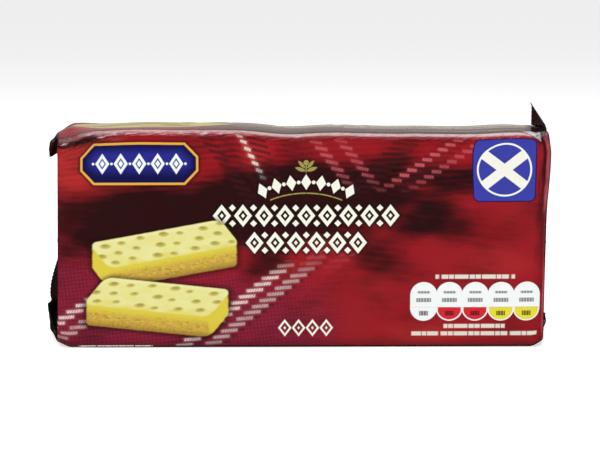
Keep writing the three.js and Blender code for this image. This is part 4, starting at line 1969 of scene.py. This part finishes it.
@dataclass(frozen=True)
class PlainFilm:
    """The plain film of the fins or the back seal."""

    ripples: bpy.types.NodeTree
    name: str = "plain_film"
    dark: Ink = Ink.EDGE_BLACK
    light: Ink = Ink.DARK
    gloss: Gloss = Gloss(roughness=0.24, smudge=0.12, ripple=0.12 * MM, ripple_size=3 * MM)
    patch_scale: float = 90.0
    maroon_from: float = 55 * MM
    maroon_to: float = 66 * MM

    def build(self) -> bpy.types.Material:
        """Build the material, whose colour wanders between its two inks and is maroon on the upper ears."""
        made, sheet, coat = new_paint(self.name)
        place = sheet.node("ShaderNodeTexCoord").outputs["Object"]
        patches = sheet.grain(place, Scale=self.patch_scale).rise(0.35, 0.7)
        high = sheet.parts(place)[2].rise(self.maroon_from, self.maroon_to)
        colour = lay(self.dark, (self.light, patches), (Ink.SHADE, (patches * 0.5 + 0.5) * high))
        sheet.feed(coat.inputs["Base Color"], colour)
        self.gloss.dress(sheet, coat, self.ripples)
        return made


@dataclass(frozen=True)
class PrintedFilm:
    """The printed film, with its motifs in the order in which they are laid."""

    ripples: bpy.types.NodeTree
    map_name: str
    gloss: Gloss = Gloss()
    crumple: float = 3.0 * MM
    slack: tuple[Pool, ...] = (Pool(-77, 74, 20, 8, -5, 1.3), Pool(0, 75, 110, 4.5))
    slack_matt: float = 0.06
    slack_most: float = 1.2
    fold_turn: float = 22
    fold_size: tuple[float, float] = (3.6, 1.4)
    motifs: tuple[Motif, ...] = (
        Ground(),
        Twill((-6, 34), (12, 4), Ink.SHADE, 0.7, second=0.5, apart=12, width=7, phase=0.5, blur=0.5),
        Twill((-34, -2), (6, 32), Ink.SHADE, 0.65, second=0.4, apart=14, width=7, blur=0.4),
        Twill((-17, 50), (-36, 76), Ink.SHADE, 0.85, second=0.6, apart=7, width=4.5, tilt=-0.22),
        Twill((-8, 52), (-18, 76), Ink.SHADE, 0.8, second=0.5, apart=11, width=6, tilt=-0.16, phase=0.5),
        Twill((16, 52), (40, 76), Ink.SHADE, 0.75, second=0.7, apart=15, width=9, tilt=-0.07, phase=0.5),
        Twill((50, 40), (20, 8), Ink.PINK, 0.28, second=0.6, apart=12, width=9, tilt=-0.1, blur=1.3),
        Twill((-93, 1), (-49, 32), Ink.PINK_WHITE, 0.9, second=0.6, apart=9),
        Twill((-44, -2), (-6, 29), Ink.PINK_WHITE, 0.9, second=0.6, apart=8.5),
        Twill((-1, 27), (9, 36), Ink.PINK, 0.4, second=0.5, apart=9, width=6, blur=0.9),
        Twill((-14, 59), (-23, 75), Ink.CREAM, 0.8, second=0.0, apart=9, width=1.7, tilt=-0.3),
        Twill((15.5, 56), (2, 73), Ink.PINK, 0.65, second=0.85, apart=8.5, width=3.4, tilt=-0.2),
        Twill((27, 55), (55, 74), Ink.PINK, 0.85, second=0.65, apart=9, width=3.5, tilt=-0.07),
        Plaque(),
        Badge(),
        Sprig(),
        Title(),
        Finger((-64.5, 28), (43, 8), (-6.5, 8.6)),
        Finger((-73, 15.5), (41, -4.5), (7.5, 9.5)),
        Pills(),
        Caption(57.8, 24.9, 13.4, 0.7),
        Caption(57.8, 7.7, 10.4, 0.7),
        Caption(57.8, 5.1, 21.3, 0.7),
        Weight(),
        Sash(),
        Caption(33.0, 99.0, 44.0, 0.9, strength=0.75, pitch=2.7),
        Caption(44.0, 94.0, 30.0, 0.8, strength=0.6, pitch=2.1),
        Caption(56.0, 85.0, 19.0, 0.5, strength=0.5, pitch=1.7),
        Panel(-20.0, 126.0, 46.0, 11.0),
        Panel(52.0, 126.0, 18.0, 11.0),
        Panel(-6.0, -51.0, 30.0, 9.0),
        Wear(),
        Corner(),
        Ends(),
        Caption(-62.5, 0.5, 12.0, 0.32, strength=0.85, pitch=1.6),
    )

    def build(self) -> bpy.types.Material:
        """Build the material: the motifs' colour, the gloss and the crumple."""
        made, sheet, coat = new_paint(SLOT)
        flat = sheet.node("ShaderNodeUVMap", uv_map=self.map_name)
        place = Place(*(part / MM for part in sheet.parts(flat.outputs[0])[:2]))
        colour = Ink.RED
        for motif in self.motifs:
            colour = motif.lay(place, colour)
        sheet.feed(coat.inputs["Base Color"], colour)
        self.gloss.dress(sheet, coat, self.ripples)
        self._crumple(sheet, coat, place)
        return made

    def _crumple(self, sheet: Sheet, coat: bpy.types.Node, place: Place) -> None:
        """Crumple the slack film along the upper edge and at its corners."""
        slack = pooled(self.slack, place)
        folds = sheet.noise(place.turned(self.fold_turn), *self.fold_size, 4, seed=61.0)
        matt = Field(sheet, coat.inputs["Roughness"].links[0].from_socket) + slack * self.slack_matt
        sheet.feed(coat.inputs["Roughness"], matt)
        bump = sheet.node("ShaderNodeBump")
        bump.inputs["Distance"].default_value = self.crumple
        sheet.feed(bump.inputs["Height"], folds * slack.least(self.slack_most))
        sheet.feed(bump.inputs["Normal"], coat.inputs["Normal"].links[0].from_socket)
        sheet.feed(coat.inputs["Normal"], bump.outputs[0])


# The studio


@dataclass(frozen=True)
class View:
    """The camera's place, its turn in degrees and its lens."""

    place: tuple[float, float, float] = (-2.01 * MM, -454.25 * MM, 119.35 * MM)
    pitch: float = 9.952
    yaw: float = -0.094
    roll: float = -0.129
    lens: float = 79.41
    sensor: float = 36.0

    def build(self) -> bpy.types.Object:
        """Build the camera and make it the scene's own."""
        data = bpy.data.cameras.new("camera")
        data.lens = self.lens
        data.sensor_width = self.sensor
        camera = bpy.data.objects.new("camera", data)
        turn = (
            Matrix.Rotation(math.radians(self.yaw), 4, "Z")
            @ Matrix.Rotation(math.radians(90 - self.pitch), 4, "X")
            @ Matrix.Rotation(math.radians(self.roll), 4, "Z")
        )
        camera.matrix_world = Matrix.Translation(self.place) @ turn
        bpy.context.scene.collection.objects.link(camera)
        bpy.context.scene.camera = camera
        return camera


@dataclass(frozen=True)
class SoftBox:
    """A soft light: its place, the point that it faces, its size and its power in watts."""

    name: str
    place: tuple[float, float, float]
    towards: tuple[float, float, float]
    size: tuple[float, float]
    power: float

    def build(self) -> bpy.types.Object:
        """Build the light and turn it to what it lights."""
        data = bpy.data.lights.new(self.name, "AREA")
        data.shape = "RECTANGLE"
        data.size, data.size_y = self.size
        data.energy = self.power
        light = bpy.data.objects.new(self.name, data)
        light.location = self.place
        way = Vector(self.towards) - Vector(self.place)
        light.rotation_euler = way.to_track_quat("-Z", "Y").to_euler()
        bpy.context.scene.collection.objects.link(light)
        return light


@dataclass
class Studio:
    """A plain pale floor, an even sky and soft boxes."""

    floor_side: float = 60.0
    floor_glow: float = 0.64
    sky: float = 0.3
    behind: float = 0.4
    beside: float = 0.6
    above: float = 0.35
    dim: float = 0.015
    boxes: tuple[SoftBox, ...] = (
        SoftBox("key_box", (-0.35, -0.75, 0.95), (0, 0, 0.04), (0.6, 0.4), 5),
        SoftBox("top_box", (0.1, -0.05, 0.9), (0, 0, 0.05), (0.9, 0.12), 5),
    )

    def build(self) -> None:
        """Build the floor, the sky, the lights and the camera."""
        self._floor()
        self._sky()
        for box in self.boxes:
            box.build()
        View().build()
        bpy.context.scene.view_settings.view_transform = "Standard"

    def _floor(self) -> None:
        """Build the floor."""
        half = self.floor_side / 2
        corners = np.array([(-half, -half, 0), (half, -half, 0), (half, half, 0), (-half, half, 0)])
        floor = mesh_piece("floor", corners, [(0, 1, 2, 3)])
        paint, sheet, coat = new_paint("pale_floor")
        looks = {
            "Base Color": (0.9, 0.9, 0.9, 1),
            "Roughness": 0.7,
            "Specular IOR Level": 0.0,
            "Emission Color": (1, 1, 1, 1),
            "Emission Strength": self.floor_glow,
        }
        for name, value in looks.items():
            sheet.feed(coat.inputs[name], value)
        floor.data.materials.append(paint)
        floor.visible_glossy = False

    def _sky(self) -> None:
        """Build an even sky, with reflections that are dark but for glows behind, beside and above."""
        world = bpy.data.worlds.new("studio")
        bpy.context.scene.world = world
        world.use_nodes = True
        sheet = Sheet(world.node_tree)
        world.node_tree.nodes.clear()
        right, back, up = sheet.parts(sheet.node("ShaderNodeTexCoord").outputs["Generated"])
        behind = back.rise(0.8, 0.96) * up.rise(-0.02, 0.1) * self.behind
        beside = right.rise(0.93, 0.965) * back.rise(-0.1, 0.05) * self.beside
        above = up.rise(0.6, 0.95) * self.above
        seen = behind + beside + above + self.dim
        glossy = Field(sheet, sheet.node("ShaderNodeLightPath").outputs["Is Glossy Ray"])
        light = sheet.node("ShaderNodeBackground")
        sheet.feed(light.inputs["Strength"], seen * glossy + glossy.rest() * self.sky)
        sheet.feed(sheet.node("ShaderNodeOutputWorld").inputs["Surface"], light.outputs[0])


def main() -> None:
    """Build the pack and the studio round it, and report each piece."""
    logging.basicConfig(level=logging.INFO, format="%(name)s: %(message)s")
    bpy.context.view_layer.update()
    wrap = Wrap()
    ripples = film_ripples()
    printed = PrintedFilm(ripples, FilmWrap.map_name).build()
    plain = PlainFilm(ripples).build()
    lap = PlainFilm(ripples, "lap_film", Ink.DARK, Ink.RED).build()
    body = FilmWrap(wrap).build()
    body.data.materials.append(printed)
    tree = CrimpTree()
    pieces = [
        body,
        EndFin(wrap, wrap.left, "left_fin").build(tree, plain),
        EndFin(wrap, wrap.right, "right_fin").build(tree, plain),
        BackSeal(wrap).build(tree, lap),
    ]
    for piece in pieces:
        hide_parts(NODE)
        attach(piece, "root")
        LOG.info("%s: %d faces", piece.name, len(piece.data.polygons))
    Studio().build()


if __name__ == "__main__":
    main()
